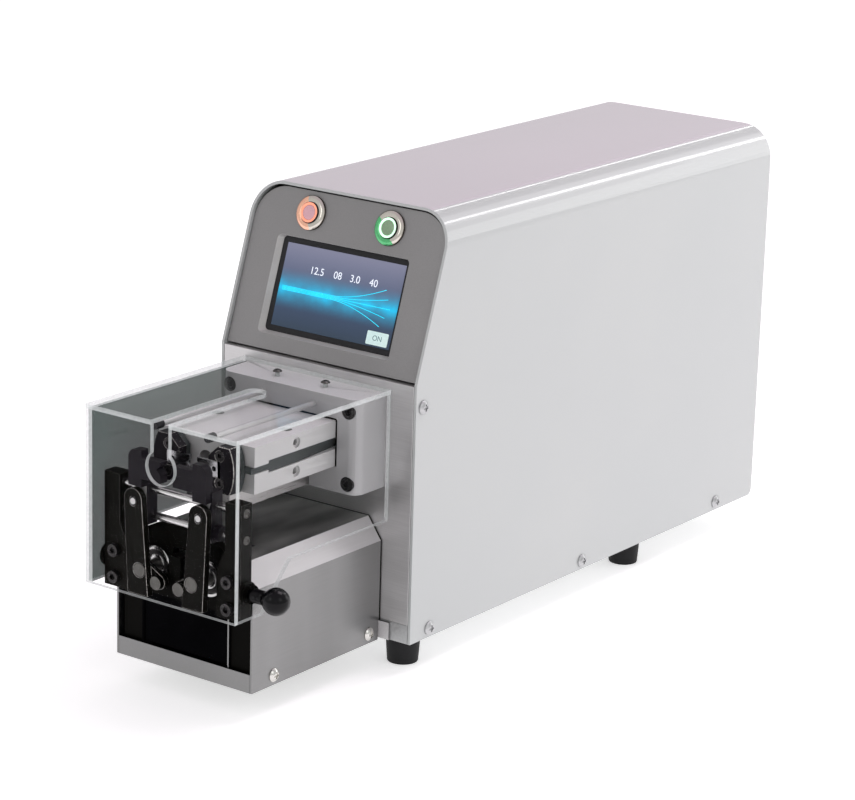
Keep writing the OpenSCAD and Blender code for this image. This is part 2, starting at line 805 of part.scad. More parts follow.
module quill_body() color([0.88, 0.89, 0.9]) translate(home) difference() {
    wide(head_w, -head_reach, head_rear, head_low, head_up);
    arm_room(slot_half);
    rod_y(0, axis_h, -head_reach - over, head_reach + tail_y + 2 * over, bore_r);
    rod_y(0, axis_h, tail_y - cone_len, pocket_rear - tail_y + cone_len, cone_room_r);
    rod_y(0, axis_h, 0, head_rear + over, cone_rod_r + run);
    for (x = [-arm_pin_x, arm_pin_x]) translate([x, arm_pin_y, head_low - over])
        cylinder(h = head_h + 2 * over, r = arm_pin_r + seat);
    for (s = [0, 1], z = [-side_hole_up, side_hole_up]) mirror([s, 0, 0]) {
        rod_x(side_hole_y, axis_h + z, head_w / 2 - side_hole_deep, side_hole_deep + over, side_hole_r);
        rod_x(side_hole_y, axis_h + z, head_w / 2 - side_hole_sink, side_hole_sink + over, side_hole_sink_r);
    }
}

module arm_pins() color([0.5, 0.5, 0.52]) translate(home) for (x = [-arm_pin_x, arm_pin_x])
    translate([x, arm_pin_y, head_low + arm_pin_sink]) cylinder(h = head_h - 2 * arm_pin_sink, r = arm_pin_r);

// Right blade arm seen from above: a bar in the side slot, a tail to the cone, a head in front
arm_half = slot_half - arm_fit;
arm_thin = slot_thin - arm_fit;
tail_x = cone_tip_r + tail_tip_r + tail_gap;
arm_neck_w = 12;
module blade_arm() difference() {
    union() {
        translate([0, 0, axis_h - arm_half]) linear_extrude(2 * arm_half) polygon([
            [arm_in, -slot_step + arm_step_gap], [arm_out, -slot_step + arm_step_gap], [arm_out, arm_pin_y],
            [arm_tail_out, tail_y + tail_tip_r], [tail_x, tail_y + tail_tip_r],
            [tail_x, tail_y - tail_tip_r], [arm_tail_out - arm_tail_w, tail_y - tail_tip_r],
            [arm_in + slide_gap, arm_pin_y + arm_waist]]);
        translate([tail_x, tail_y, axis_h - arm_half]) cylinder(h = 2 * arm_half, r = tail_tip_r);
        block(arm_out - arm_neck_w, arm_out, arm_head_y + arm_head_t - over, -slot_step + arm_step_gap + over,
            axis_h - arm_thin, axis_h + arm_thin);
        arm_head(arm_head_y, arm_head_t);
    }
    translate([arm_pin_x, arm_pin_y, axis_h - head_h]) cylinder(h = 2 * head_h, r = arm_pin_r + run);
    holder_pattern() rod_y(0, 0, arm_head_y - over, arm_head_t + 2 * over, holder_screw_r + seat);
}
// Half of a disc cut flat above, below and along the middle, with cut inner corners
module arm_head(y0, len) intersection() {
    rod_y(0, axis_h, y0, len, holder_r);
    along_y(y0 - over, len + 2 * over) translate([0, axis_h]) polygon([
        [holder_gap / 2, holder_cut_h - head_h / 2], [holder_gap / 2 + holder_cut_w, -head_h / 2],
        [holder_r + over, -head_h / 2], [holder_r + over, head_h / 2],
        [holder_gap / 2 + holder_cut_w, head_h / 2], [holder_gap / 2, head_h / 2 - holder_cut_h]]);
}
module holder_pattern() for (z = [-holder_screw_z, holder_screw_z])
    translate([holder_screw_x, 0, axis_h + z]) children();

module blade_arm_right() color([0.13, 0.14, 0.15]) translate(home) blade_arm();
module blade_arm_left() color([0.13, 0.14, 0.15]) translate(home) mirror([1, 0, 0]) blade_arm();

module blade_holder() difference() {
    arm_head(holder_y, holder_t);
    block(0, blade_gap / 2 + blade_len + seat, holder_y - over, holder_y + blade_t,
        axis_h - blade_h / 2 - seat, axis_h + blade_h / 2 + seat);
    holder_pattern() {
        rod_y(0, 0, holder_y - over, holder_t + 2 * over, holder_screw_r + seat);
        rod_y(0, 0, holder_y - over, holder_head_h + over, holder_head_r + run);
    }
}
module blade_holder_right() color([0.12, 0.12, 0.14]) translate(home) blade_holder();
module blade_holder_left() color([0.12, 0.12, 0.14]) translate(home) mirror([1, 0, 0]) blade_holder();

// Blade with a notch for the wire
module blade() difference() {
    block(blade_gap / 2, blade_gap / 2 + blade_len, holder_y, holder_y + blade_t,
        axis_h - blade_h / 2, axis_h + blade_h / 2);
    along_y(holder_y - over, blade_t + 2 * over) translate([blade_gap / 2 - over, axis_h])
        polygon([[0, -blade_notch], [blade_notch + over, 0], [0, blade_notch]]);
    rod_y(blade_gap / 2 + blade_len * blade_hole_share, axis_h, holder_y - over,
        blade_t + 2 * over, blade_hole_r);
}
module blade_right() color("silver") translate(home) blade();
module blade_left() color("silver") translate(home) mirror([1, 0, 0]) blade();

module holder_screw_pair() holder_pattern() translate([0, holder_y + holder_head_h, 0])
    cap_screw(holder_screw_r, holder_t + arm_head_t - holder_head_h,
        holder_head_r, holder_head_h, holder_key_r);
module holder_screws_right() color([0.2, 0.2, 0.21]) translate(home) holder_screw_pair();
module holder_screws_left() color([0.2, 0.2, 0.21]) translate(home) mirror([1, 0, 0]) holder_screw_pair();

// Cone on its rod: pushed forward, it spreads the tails and closes the blades
module closing_cone() color([0.55, 0.56, 0.58]) translate(home)
    translate([0, tail_y, axis_h]) rotate([-90, 0, 0]) {
    cylinder(h = cone_len, r1 = cone_tip_r, r2 = cone_r);
    cylinder(h = head_rear - tail_y + carriage_t, r = cone_rod_r);
}
module closing_motor() color([0.2, 0.2, 0.22]) translate(home) difference() {
    rod_y(0, axis_h, head_rear + carriage_t, closer_len, closer_r);
    rod_y(0, axis_h, head_rear + carriage_t - over, cone_len + over, cone_rod_r + run);
}

module feed_carriage() color([0.7, 0.7, 0.72]) translate(home) difference() {
    union() {
        wide(carriage_w, head_rear, head_rear + carriage_t, head_low, head_low + carriage_h);
        wide(tongue_w, head_rear, head_rear + carriage_t, bed_top + slide_gap, head_low + over);
    }
    rod_y(0, axis_h, head_rear - over, carriage_t + 2 * over, cone_rod_r + run);
    rod_y(0, screw_h, head_rear - over, carriage_t + 2 * over, screw_r + run);
}

module lead_screw() color([0.75, 0.75, 0.76]) translate(home)
    rod_y(0, screw_h, screw_front, bed_rear + bracket_t + motor_grip - screw_front, screw_r);

module feed_motor() color([0.14, 0.14, 0.15]) translate(home) difference() {
    along_y(bed_rear + bracket_t, motor_len) translate([0, screw_h]) round_rect(motor_w, motor_w, motor_r);
    rod_y(0, screw_h, bed_rear, bracket_t + motor_grip + slide_gap, screw_r + run);
}

module feed_bed() color([0.68, 0.69, 0.7]) translate(home) difference() {
    union() {
        wide(bed_w, bed_front, bed_rear + over, bed_top - bed_t, bed_top);
        for (y = [bed_front, bed_rear - bed_leg])
            wide(bed_w, y, y + bed_leg, base_plate_t, bed_top - bed_t + over);
        wide(bed_w, bed_rear, bed_rear + bracket_t, base_plate_t, screw_h + motor_w / 2);
    }
    rod_y(0, screw_h, bed_rear - over, bracket_t + 2 * over, screw_r + run);
}

// Black plate that carries the clamp unit, its arch between the posts
module clamp_plate() color([0.08, 0.08, 0.09]) translate(home) difference() {
    union() {
        along_y(-plate_face, clamp_plate_t) {
            base_arch(base_w - 2 * sheet_t - 2 * gap, plate_low, base_top - sheet_t - gap,
                chamfer_w - sheet_t / 3, chamfer_h);
            intersection() {
                translate([0, plate_arch_top - plate_arch_r]) circle(plate_arch_r);
                translate([-base_w / 2 + chamfer_w + gap, plate_low])
                    square([base_w - 2 * chamfer_w - 2 * gap, plate_arch_top - plate_low]);
            }
        }
        sides() block(bay_w / 2 + bay_t + gap, base_w / 2 - 2 * sheet_t - 2 * gap, -base_len + leg_inset,
            -base_len + leg_inset + leg_t, 0, plate_low + over);
    }
    for (s = [-1, 1])
        rod_y(s * pivot_x, pivot_h, -plate_face - over, clamp_plate_t + 2 * over, bearing_r + seat);
    wide(web_w + 2 * web_room, -plate_face - over, -plate_face + clamp_plate_t + over,
        crosshead_top - web_h - web_room, crosshead_top + web_room);
    post_pattern() rod_y(0, 0, -plate_face - over, clamp_plate_t + 2 * over, clamp_screw_r + seat);
}
module post_pattern() sides() for (z = [post_screw_low, post_screw_high])
    translate([post_screw_x, 0, z]) children();

// Right post: slim above, broad below, with screws through its foot
module clamp_post() difference() {
    along_y(-clamp_reach, post_d) polygon([
        [post_out, post_low], [post_out, post_top], [post_out - post_w, post_top],
        [post_out - post_w, post_step_top], [post_out - post_foot_w, post_step_low],
        [post_out - post_foot_w, post_low]]);
    for (z = [rod_upper_h, rod_lower_h]) {
        rod_x(cross_rod_y, z, post_out - post_w - over, post_w + 2 * over, rod_screw_r + seat);
        rod_x(cross_rod_y, z, post_out - post_w - over, post_w / 2 + over, cross_rod_d / 2 + seat);
    }
    translate([post_screw_x, 0, 0]) for (z = [post_screw_low, post_screw_high])
        rod_y(0, z, -clamp_reach - over, post_d + 2 * over, clamp_screw_r + seat);
    rod_x(cross_rod_y, pivot_h, post_out - post_foot_w - over, post_foot_w + 2 * over, knob_r + run);
    rod_x(cross_rod_y, pivot_h, hub_in, post_out, hub_thread_r + seat);
}
module clamp_posts() color([0.1, 0.1, 0.1]) translate(home) sides() clamp_post();

// Threaded hubs in the posts; the right one takes the knob's screw
module post_hubs() color([0.09, 0.09, 0.1]) translate(home) sides() difference() {
    union() {
        rod_x(cross_rod_y, pivot_h, hub_in, hub_face - hub_in, hub_thread_r);
        rod_x(cross_rod_y, pivot_h, hub_face, hub_out - hub_face, hub_r);
    }
    rod_x(cross_rod_y, pivot_h, hub_in - over, post_out, knob_r + run);
}

module clamp_screws() color([0.16, 0.16, 0.17]) translate(home) {
    post_pattern() translate([0, -clamp_reach, 0])
        cap_screw(clamp_screw_r, clamp_screw_len, clamp_head_r, clamp_head_h, clamp_key_r);
    sides() for (z = [rod_upper_h, rod_lower_h]) translate([post_out, cross_rod_y, z]) mirror([1, 0, 0])
        pan_screw(rod_screw_r, rod_screw_len, rod_screw_head_r, rod_screw_head_h);
}

module cross_rods() color([0.8, 0.8, 0.8]) translate(home) for (z = [rod_upper_h, rod_lower_h]) difference() {
    rod_x(cross_rod_y, z, -post_out + post_w / 2, 2 * post_out - post_w, cross_rod_d / 2);
    for (s = [0, 1]) mirror([s, 0, 0])
        rod_x(cross_rod_y, z, post_out - rod_screw_len - over, rod_screw_len + over, rod_screw_r + seat);
}

// Right jaw: a leg on both rods, an upright head with a finger to the cable axis, a pin for the lever
jaw_head_in = jaw_pin_x - jaw_leg_w / 2;
module jaw() difference() {
    union() {
        block(jaw_pin_x - jaw_leg_w / 2, jaw_pin_x + jaw_leg_w / 2, -clamp_reach, -jaw_rear,
            jaw_leg_low, jaw_head_low + over);
        block(jaw_head_in, jaw_out, -jaw_front, over - clamp_reach, jaw_neck_low, jaw_head_low + over);
        along_y(-jaw_front, jaw_head_t) translate([0, jaw_head_low]) {
            translate([jaw_face, 0]) square([jaw_out - jaw_face, jaw_finger_h]);
            translate([jaw_head_in, 0]) square([jaw_out - jaw_head_in, jaw_head_h - jaw_head_r]);
            translate([jaw_head_in, 0]) square([jaw_out - jaw_head_in - jaw_head_r, jaw_head_h]);
            translate([jaw_out - jaw_head_r, jaw_head_h - jaw_head_r]) circle(jaw_head_r);
        }
        rod_y(jaw_pin_x, jaw_pin_h, -lever_face, lever_face - clamp_reach + over, jaw_pin_r);
        rod_x(cross_rod_y, rod_lower_h, jaw_pin_x, jaw_leg_w / 2 + jaw_boss_len, jaw_boss_r);
    }
    for (z = [rod_upper_h, rod_lower_h])
        rod_x(cross_rod_y, z, jaw_pin_x - jaw_leg_w, 3 * jaw_leg_w, cross_rod_d / 2 + run);
    along_y(-jaw_front - over, jaw_front) translate([jaw_face - over, axis_h])
        polygon([[0, -jaw_notch - over], [jaw_notch + over, 0], [0, jaw_notch + over]]);
}
module jaw_right() color([0.12, 0.11, 0.13]) translate(home) jaw();
module jaw_left() color([0.12, 0.11, 0.13]) translate(home) mirror([1, 0, 0]) jaw();

// Right lever: a leaning front plate on the pivot with a crank behind it
module bar_2d(len, r) {
    circle(r);
    translate([len, 0]) circle(r);
    translate([0, -r]) square([len, 2 * r]);
}
crank_x = link_x - pivot_x;
crank_z = link_h - pivot_h;
crank_len = norm([crank_x, crank_z]);
crank_deg = atan2(crank_z, crank_x);
link_slot = lever_slot - crank_x / cos(crank_deg + 180 + link_swing) - crank_len;
module lever() difference() {
    union() {
        along_y(-lever_face, lever_t) {
            polygon([[pivot_x - lever_in, pivot_h - lever_drop], [pivot_x + lever_out, pivot_h - lever_drop],
                [jaw_pin_x + lever_top_r, jaw_pin_h + lever_rise],
                [jaw_pin_x - lever_top_r, jaw_pin_h + lever_rise]]);
            translate([jaw_pin_x, jaw_pin_h + lever_rise]) circle(lever_top_r);
        }
        along_y(-lever_rear - seat, crank_t + seat) translate([pivot_x, pivot_h])
            rotate(crank_deg) bar_2d(crank_len, crank_r);
    }
    rod_y(pivot_x, pivot_h, -lever_face - over, lever_t + crank_t + 2 * over, shaft_r + run);
    rod_y(pivot_x, pivot_h, -lever_face - over, shaft_head_t + over + slide_gap, shaft_head_r + slide_gap);
    along_y(-lever_face - over, lever_t + over + seat) translate([pivot_x, pivot_h]) rotate(90 - lever_tilt)
        translate([lever_arm - lever_slot / 2, 0]) bar_2d(lever_slot, jaw_pin_r + lever_slot_gap);
    along_y(-lever_rear - over, crank_t + 2 * over) translate([pivot_x, pivot_h]) rotate(crank_deg)
        translate([crank_len - lever_slot / 2, 0]) bar_2d(link_slot, link_r + link_gap);
}
module lever_right() color([0.13, 0.13, 0.12]) translate(home) lever();
module lever_left() color([0.13, 0.13, 0.12]) translate(home) mirror([1, 0, 0]) lever();

module pivot_shafts() color([0.55, 0.55, 0.55]) translate(home) sides() {
    rod_y(pivot_x, pivot_h, -lever_face + shaft_head_t - seat,
        lever_face - plate_face + clamp_plate_t, shaft_r);
    rod_y(pivot_x, pivot_h, -lever_face, shaft_head_t, shaft_head_r);
}

module pivot_bearings() color([0.75, 0.75, 0.76]) translate(home) sides() difference() {
    rod_y(pivot_x, pivot_h, -plate_face - bearing_proud, bearing_t, bearing_r);
    rod_y(pivot_x, pivot_h, -plate_face - bearing_proud - over, bearing_t + 2 * over, shaft_r + seat);
    difference() {
        rod_y(pivot_x, pivot_h, -plate_face - bearing_proud - over,
            over + bearing_proud / 2, bearing_groove_out);
        rod_y(pivot_x, pivot_h, -plate_face - bearing_proud - over, 2 * over, bearing_groove_in);
    }
}

// Crosshead: carries the two crank pins and is pulled down by the actuator's rod
module crosshead() color([0.14, 0.14, 0.14]) translate(home) {
    wide(crosshead_w, -crosshead_face, -crosshead_face + crosshead_t, crosshead_low, crosshead_step);
    wide(web_w, -crosshead_face, -crosshead_face + crosshead_t, crosshead_step - over, crosshead_top);
    wide(web_w, -crosshead_face + crosshead_t - over, -web_rear, crosshead_top - web_h, crosshead_top);
    sides() {
        rod_y(link_x, link_h, -lever_rear - over, lever_rear - crosshead_face + 2 * over, link_r);
        rod_y(link_x, link_h, -lever_rear - link_head_t + seat,
            link_head_t - seat - slide_gap / 2, link_head_r);
    }
    translate([0, actuator_y, actuator_low + actuator_gap + actuator_stroke])
        cylinder(h = crosshead_top - actuator_low - web_h, r = actuator_rod_r);
}

module clamp_actuator() color([0.6, 0.61, 0.63]) translate(home) difference() {
    wide(actuator_w, -plate_face + clamp_plate_t, -web_rear + web_room + actuator_gap,
        actuator_low, actuator_low + actuator_h);
    translate([0, actuator_y, actuator_low + actuator_gap])
        cylinder(h = actuator_h + over, r = actuator_rod_r + run);
}

// Knob: a screw through the guard and the right hub, with a ball on its end
module knob_screw() color([0.45, 0.45, 0.46]) translate(home) {
    rod_x(cross_rod_y, pivot_h, knob_end, knob_mid - knob_end, knob_r);
    rod_x(cross_rod_y, pivot_h, knob_mid - ball_d / 2 - knob_neck_len, knob_neck_len, knob_neck_r);
}
module ball_knob() color([0.05, 0.05, 0.06]) translate(home) difference() {
    union() {
        translate([knob_mid, cross_rod_y, pivot_h]) sphere(ball_d / 2);
        rod_x(cross_rod_y, pivot_h, knob_mid - ball_d / 2, ball_d / 2, knob_collar_r);
    }
    rod_x(cross_rod_y, pivot_h, 0, knob_mid + seat, knob_r + seat);
}

// Floor and front lip of the base box, the walls of the tray's bay and two ears at the back
module base_chassis() color([0.74, 0.74, 0.73]) translate(home) difference() {
    union() {
        wide(base_w - 2 * sheet_t - gap, -base_len, 0, base_low, base_low + sheet_t);
        wide(base_w - 2 * sheet_t - gap, -base_len, -base_len + sheet_t, base_low, base_low + lip_h);
        sides() {
            block(bay_w / 2, bay_w / 2 + bay_t, -base_len + sheet_t, -gap,
                base_low + sheet_t - seat, bay_top - gap);
            block(bay_w / 2 - runner_w, bay_w / 2 + bay_t / 2, -base_len + 2 * sheet_t, -gap,
                tray_low - slide_gap - bay_t, tray_low - slide_gap);
            block(base_w / 2 - 2 * sheet_t - gap / 2, base_w / 2 - sheet_t - gap / 2, -base_len, 0,
                base_low, base_low + lip_h);
            block(base_w / 2 - tab_w, base_w / 2 + tab_w, -sheet_t, 0, base_low + sheet_t - seat, tab_h);
        }
    }
    for (y = base_screw_y, s = [0, 1]) mirror([s, 0, 0])
        rod_x(y, base_screw_h, base_w / 2 - base_screw_len, base_screw_len + over, base_screw_r + seat);
}

module base_arch(w, low, top, cw, ch) polygon([
    [-w / 2, low], [w / 2, low], [w / 2, top - ch],
    [w / 2 - cw, top], [-w / 2 + cw, top], [-w / 2, top - ch]]);

// Folded cover of the base box with its two long chamfers and the opening for the scrap
module base_cover() color([0.73, 0.73, 0.72]) translate(home) difference() {
    along_y(-base_len, base_len) difference() {
        base_arch(base_w, base_low, base_top, chamfer_w, chamfer_h);
        base_arch(base_w - 2 * sheet_t, base_low - over, base_top - sheet_t,
            chamfer_w - sheet_t / 3, chamfer_h);
    }
    wide(base_w + over, -sheet_t - gap, over, base_low - over, tab_h + gap);
    wide(chute_w, -chute_front, -chute_rear, base_top - sheet_t - over, base_top + over);
    wide(base_w - 2 * chamfer_w, -base_len - over, -plate_face + clamp_plate_t + gap,
        base_top - sheet_t - over, base_top + over);
    for (y = base_screw_y) rod_x(y, base_screw_h, -base_w, 2 * base_w, base_screw_r + run);
}

module base_screws() color("gainsboro") translate(home) for (y = base_screw_y, s = [0, 1]) mirror([s, 0, 0])
    translate([base_w / 2, y, base_screw_h]) mirror([1, 0, 0])
        pan_screw(base_screw_r, sheet_t + base_screw_r, base_head_r, base_head_h);

module scrap_tray() color([0.06, 0.06, 0.06]) translate(home) difference() {
    wide(bay_w - 2 * gap, -base_len + leg_inset, -tray_rear, tray_low, tray_low + tray_h);
    wide(bay_w - 2 * gap - 2 * tray_wall, -base_len + leg_inset + tray_wall, -tray_rear - tray_wall,
        tray_low + tray_wall, tray_low + tray_h + over);
}

module power_supply() color([0.75, 0.76, 0.77]) translate(home)
    block(psu_x, psu_x + psu_w, psu_y, psu_y + psu_len, base_plate_t, base_plate_t + psu_h);

module control_board() color([0.1, 0.35, 0.2]) translate(home) {
    block(-plate_w / 2 + board_off, -plate_w / 2 + board_off + board_t, board_y, board_y + board_len,
        board_low, board_low + board_h);
    for (y = chip_y_share, z = chip_z_share)
        block(-plate_w / 2 + board_off + board_t - seat, -plate_w / 2 + board_off + board_t + chip_t,
            board_y + board_len * (y - chip_half_share[0]), board_y + board_len * (y + chip_half_share[0]),
            board_low + board_h * (z - chip_half_share[1]), board_low + board_h * (z + chip_half_share[1]));
    for (y = stud_share, z = stud_share)
        rod_x(board_y + board_len * y, board_low + board_h * z, -in_w / 2, board_off + gap + seat, stud_r);
}

module fan_frame() color([0.08, 0.08, 0.08]) translate(home) translate([fan_x, 0, fan_h]) {
    along_y(rear_y - rear_t - fan_d, fan_d) difference() {
        square(fan_w, center = true);
        circle(fan_r + gap);
    }
    along_y(rear_y - rear_t - fan_d, rear_t) {
        circle(hub_fan_r);
        for (a = [0, 90]) rotate(a) square([2 * fan_r + 2 * gap + over, grille_bar], center = true);
    }
    along_y(rear_y - fan_d - seat, fan_axle_len) circle(fan_axle_r);
}
module fan_rotor() color([0.12, 0.12, 0.12]) translate(home)
    translate([fan_x, rear_y - fan_d + gap, fan_h]) rotate([-90, 0, 0]) {
        difference() {
            cylinder(h = fan_d - rear_t - 2 * gap, r = hub_fan_r);
            translate([0, 0, -over]) cylinder(h = fan_axle_len + over, r = fan_axle_r + run);
        }
        for (i = [0 : blade_count - 1]) rotate(i * 360 / blade_count)
            translate([(hub_fan_r + fan_r) / 2 - gap, 0, (fan_d - rear_t) / 2 - gap])
                rotate([fan_blade_deg, 0, 0])
                    cube([fan_r - hub_fan_r, fan_blade_w, fan_blade_t], center = true);
    }

// Power inlet with a flange outside the rear panel and three flat pins, and the rocker's frame
module inlet_socket() color([0.09, 0.09, 0.09]) translate(home) translate([inlet_x, rear_y, inlet_h]) {
    difference() {
        union() {
            along_y(0, inlet_flange_t)
                round_rect(inlet_flange_w, inlet_tall + inlet_flange_t, inlet_flange_t);
            along_y(-inlet_deep, inlet_deep + seat) square([inlet_w, inlet_tall], center = true);
        }
        along_y(inlet_flange_t - socket_deep, socket_deep + over)
            square([socket_w, socket_tall], center = true);
    }
    for (x = [-1, 0, 1]) translate([x * socket_w / 3, 0, (x == 0 ? 1 : -1) * socket_tall / 6])
        along_y(inlet_flange_t - socket_deep - seat, pin_l) square([pin_w, 2 * pin_w], center = true);
    translate([rocker_x - inlet_x, 0, 0]) difference() {
        union() {
            along_y(-frame_deep, frame_deep + seat)
                square([rocker_w + 2 * rocker_frame, rocker_tall + 2 * rocker_frame], center = true);
            along_y(0, frame_rim) square([rocker_w + 2 * rocker_frame + 2 * frame_rim,
                rocker_tall + 2 * rocker_frame + 2 * frame_rim], center = true);
        }
        along_y(-frame_deep - over, frame_deep + frame_rim + 2 * over)
            square([rocker_w + rocker_room, rocker_tall + 2 * rocker_room], center = true);
    }
}

// Rocker switch: the rocker tips about an axle along X
module power_rocker() color([0.75, 0.1, 0.08]) translate(home)
    translate([rocker_x, rocker_y, inlet_h]) rotate([rocker_rest, 0, 0]) {
        rotate([0, 90, 0]) translate([0, 0, -rocker_w / 2]) cylinder(h = rocker_w, r = rocker_t / 2);
        translate([-rocker_w / 2, 0, -rocker_tall / 2]) cube([rocker_w, rocker_t / 2, rocker_tall]);
    }

base_plate();
housing_cover();
front_plate();
rear_panel();
cover_screws();
rubber_feet();
display_panel();
display_module();
touch_glass();
button_bodies();
stop_cap();
start_cap();
guard();
guard_screws();
flange_block();
flange_screws();
top_rods();
rod_caps();
guide_beam();
quill_body();
arm_pins();
blade_arm_left();
blade_arm_right();
blade_holder_left();
blade_holder_right();
blade_left();
blade_right();
holder_screws_left();
holder_screws_right();
closing_cone();
closing_motor();
feed_carriage();
lead_screw();
feed_motor();
feed_bed();
clamp_plate();
clamp_posts();
post_hubs();
clamp_screws();
cross_rods();
jaw_left();
jaw_right();
lever_left();
lever_right();
pivot_shafts();
pivot_bearings();
crosshead();
clamp_actuator();
knob_screw();
ball_knob();
base_chassis();
base_cover();
base_screws();
scrap_tray();
power_supply();
control_board();
fan_frame();
fan_rotor();
inlet_socket();
power_rocker();
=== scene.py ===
import json
import math
import bmesh
import bpy
from mathutils import Matrix, Vector


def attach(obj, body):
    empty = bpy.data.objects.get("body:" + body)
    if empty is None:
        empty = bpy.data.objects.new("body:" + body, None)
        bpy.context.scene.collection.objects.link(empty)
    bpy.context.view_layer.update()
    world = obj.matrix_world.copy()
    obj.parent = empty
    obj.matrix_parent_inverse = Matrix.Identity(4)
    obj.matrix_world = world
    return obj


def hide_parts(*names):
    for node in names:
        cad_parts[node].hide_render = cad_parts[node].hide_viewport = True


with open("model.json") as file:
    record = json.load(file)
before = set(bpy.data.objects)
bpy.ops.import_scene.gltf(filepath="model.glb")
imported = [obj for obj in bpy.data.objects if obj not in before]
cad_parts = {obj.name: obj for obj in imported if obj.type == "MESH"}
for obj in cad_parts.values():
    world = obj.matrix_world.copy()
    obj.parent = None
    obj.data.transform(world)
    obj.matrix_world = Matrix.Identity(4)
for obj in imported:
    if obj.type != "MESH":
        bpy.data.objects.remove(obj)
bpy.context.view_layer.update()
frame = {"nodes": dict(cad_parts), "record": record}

# Lengths are in millimetres from the middle of the front plate's lower edge, as in the part's drawing
machine = {"right": -2.5, "rear": -140.0, "up": 21.0, "bend": 178.2, "lean": math.atan2(36.0, 108.8)}


def at(x, y, z):
    return Vector((x + machine["right"], y + machine["rear"], z + machine["up"])) / 1000


def panelFrame(x, depth, up):  # matrix of a spot on the leaning panel: its Z looks out of the panel
    cosine, sine = math.cos(machine["lean"]), math.sin(machine["lean"])
    spot = at(x, depth * cosine + up * sine, machine["bend"] - depth * sine + up * cosine)
    return Matrix.Translation(spot) @ Matrix.Rotation(math.pi / 2 - machine["lean"], 4, "X")


def inDrawing(spot):  # a place in metres as millimetres of the drawing
    return spot * 1000 - Vector((machine["right"], machine["rear"], machine["up"]))


def planeAt(x, y, z, right, up):  # matrix of a drawing plane in millimetres: its X and Y are the given axes
    right, up = Vector(right), Vector(up)
    turn = Matrix((right, up, right.cross(up))).transposed().to_4x4()
    return Matrix.Translation(at(x, y, z)) @ turn @ Matrix.Scale(0.001, 4)


# Camera, lights and floor

camera = {"place": (1229.62, -1554.44, 726.93), "turn": 36.216, "drop": 16.099, "roll": 1.658,
          "lens": 130.86, "sensor": 36.0, "clipEnd": 50.0}
studio = {"skies": [(0.45, (1.0, 1.0, 1.0)), (0.70, (0.97, 0.975, 0.97)), (1.0, (0.84, 0.74, 0.83))],
          "skyFrom": -1.0, "worldStrength": 0.66, "floorSize": 14.0, "floorColour": (0.9, 0.9, 0.9),
          "floorRough": 0.9, "floorSpecular": 0.1, "floorGlow": 0.5}
lamps = [  # name, place and target in metres, width, length, turn in degrees, power, colour
    ("overheadSoftbox", (0.35, 0.4, 1.5), (0.0, 0.1, 0.2), 0.7, 0.7, 0.0, 6.2, (1.0, 0.91, 0.98)),
    ("rearSoftbox", (0.62, 1.75, 1.5), (0.0, 0.1, 0.25), 0.95, 0.95, 0.0, 2.5, (1.0, 0.98, 1.0)),
    ("lowSoftbox", (1.25, 1.9, 0.72), (0.05, 0.1, 0.25), 1.0, 0.9, 0.0, 5.0, (1.0, 1.0, 1.0)),
    ("rightStrip", (0.595, 1.86, 1.45), (0.05, 0.1, 0.28), 0.09, 1.1, 23.7, 1.9, (1.0, 1.0, 1.0)),
    ("leftStrip", (-0.595, 1.86, 1.37), (0.05, 0.1, 0.28), 0.07, 1.1, -32.0, 1.5, (1.0, 1.0, 1.0)),
    ("rightSoftbox", (1.9, -0.6, 1.2), (0.0, 0.1, 0.15), 0.9, 0.9, 0.0, 2.6, (0.97, 1.0, 0.995)),
    ("frontSoftbox", (-0.5, -1.9, 1.1), (0.0, -0.1, 0.15), 0.7, 0.7, 0.0, 1.8, (1.0, 1.0, 1.0)),
]


def setCamera(settings):
    data = bpy.data.cameras.new("photoCamera")
    data.sensor_fit = "HORIZONTAL"
    data.sensor_width = settings["sensor"]
    data.lens = settings["lens"]
    data.clip_end = settings["clipEnd"]
    holder = bpy.data.objects.new("photoCamera", data)
    bpy.context.scene.collection.objects.link(holder)
    turn = Matrix.Rotation(math.radians(settings["turn"]), 4, "Z")
    drop = Matrix.Rotation(math.pi / 2 - math.radians(settings["drop"]), 4, "X")
    roll = Matrix.Rotation(math.radians(settings["roll"]), 4, "Z")
    holder.matrix_world = Matrix.Translation(at(*settings["place"])) @ turn @ drop @ roll
    bpy.context.scene.camera = holder


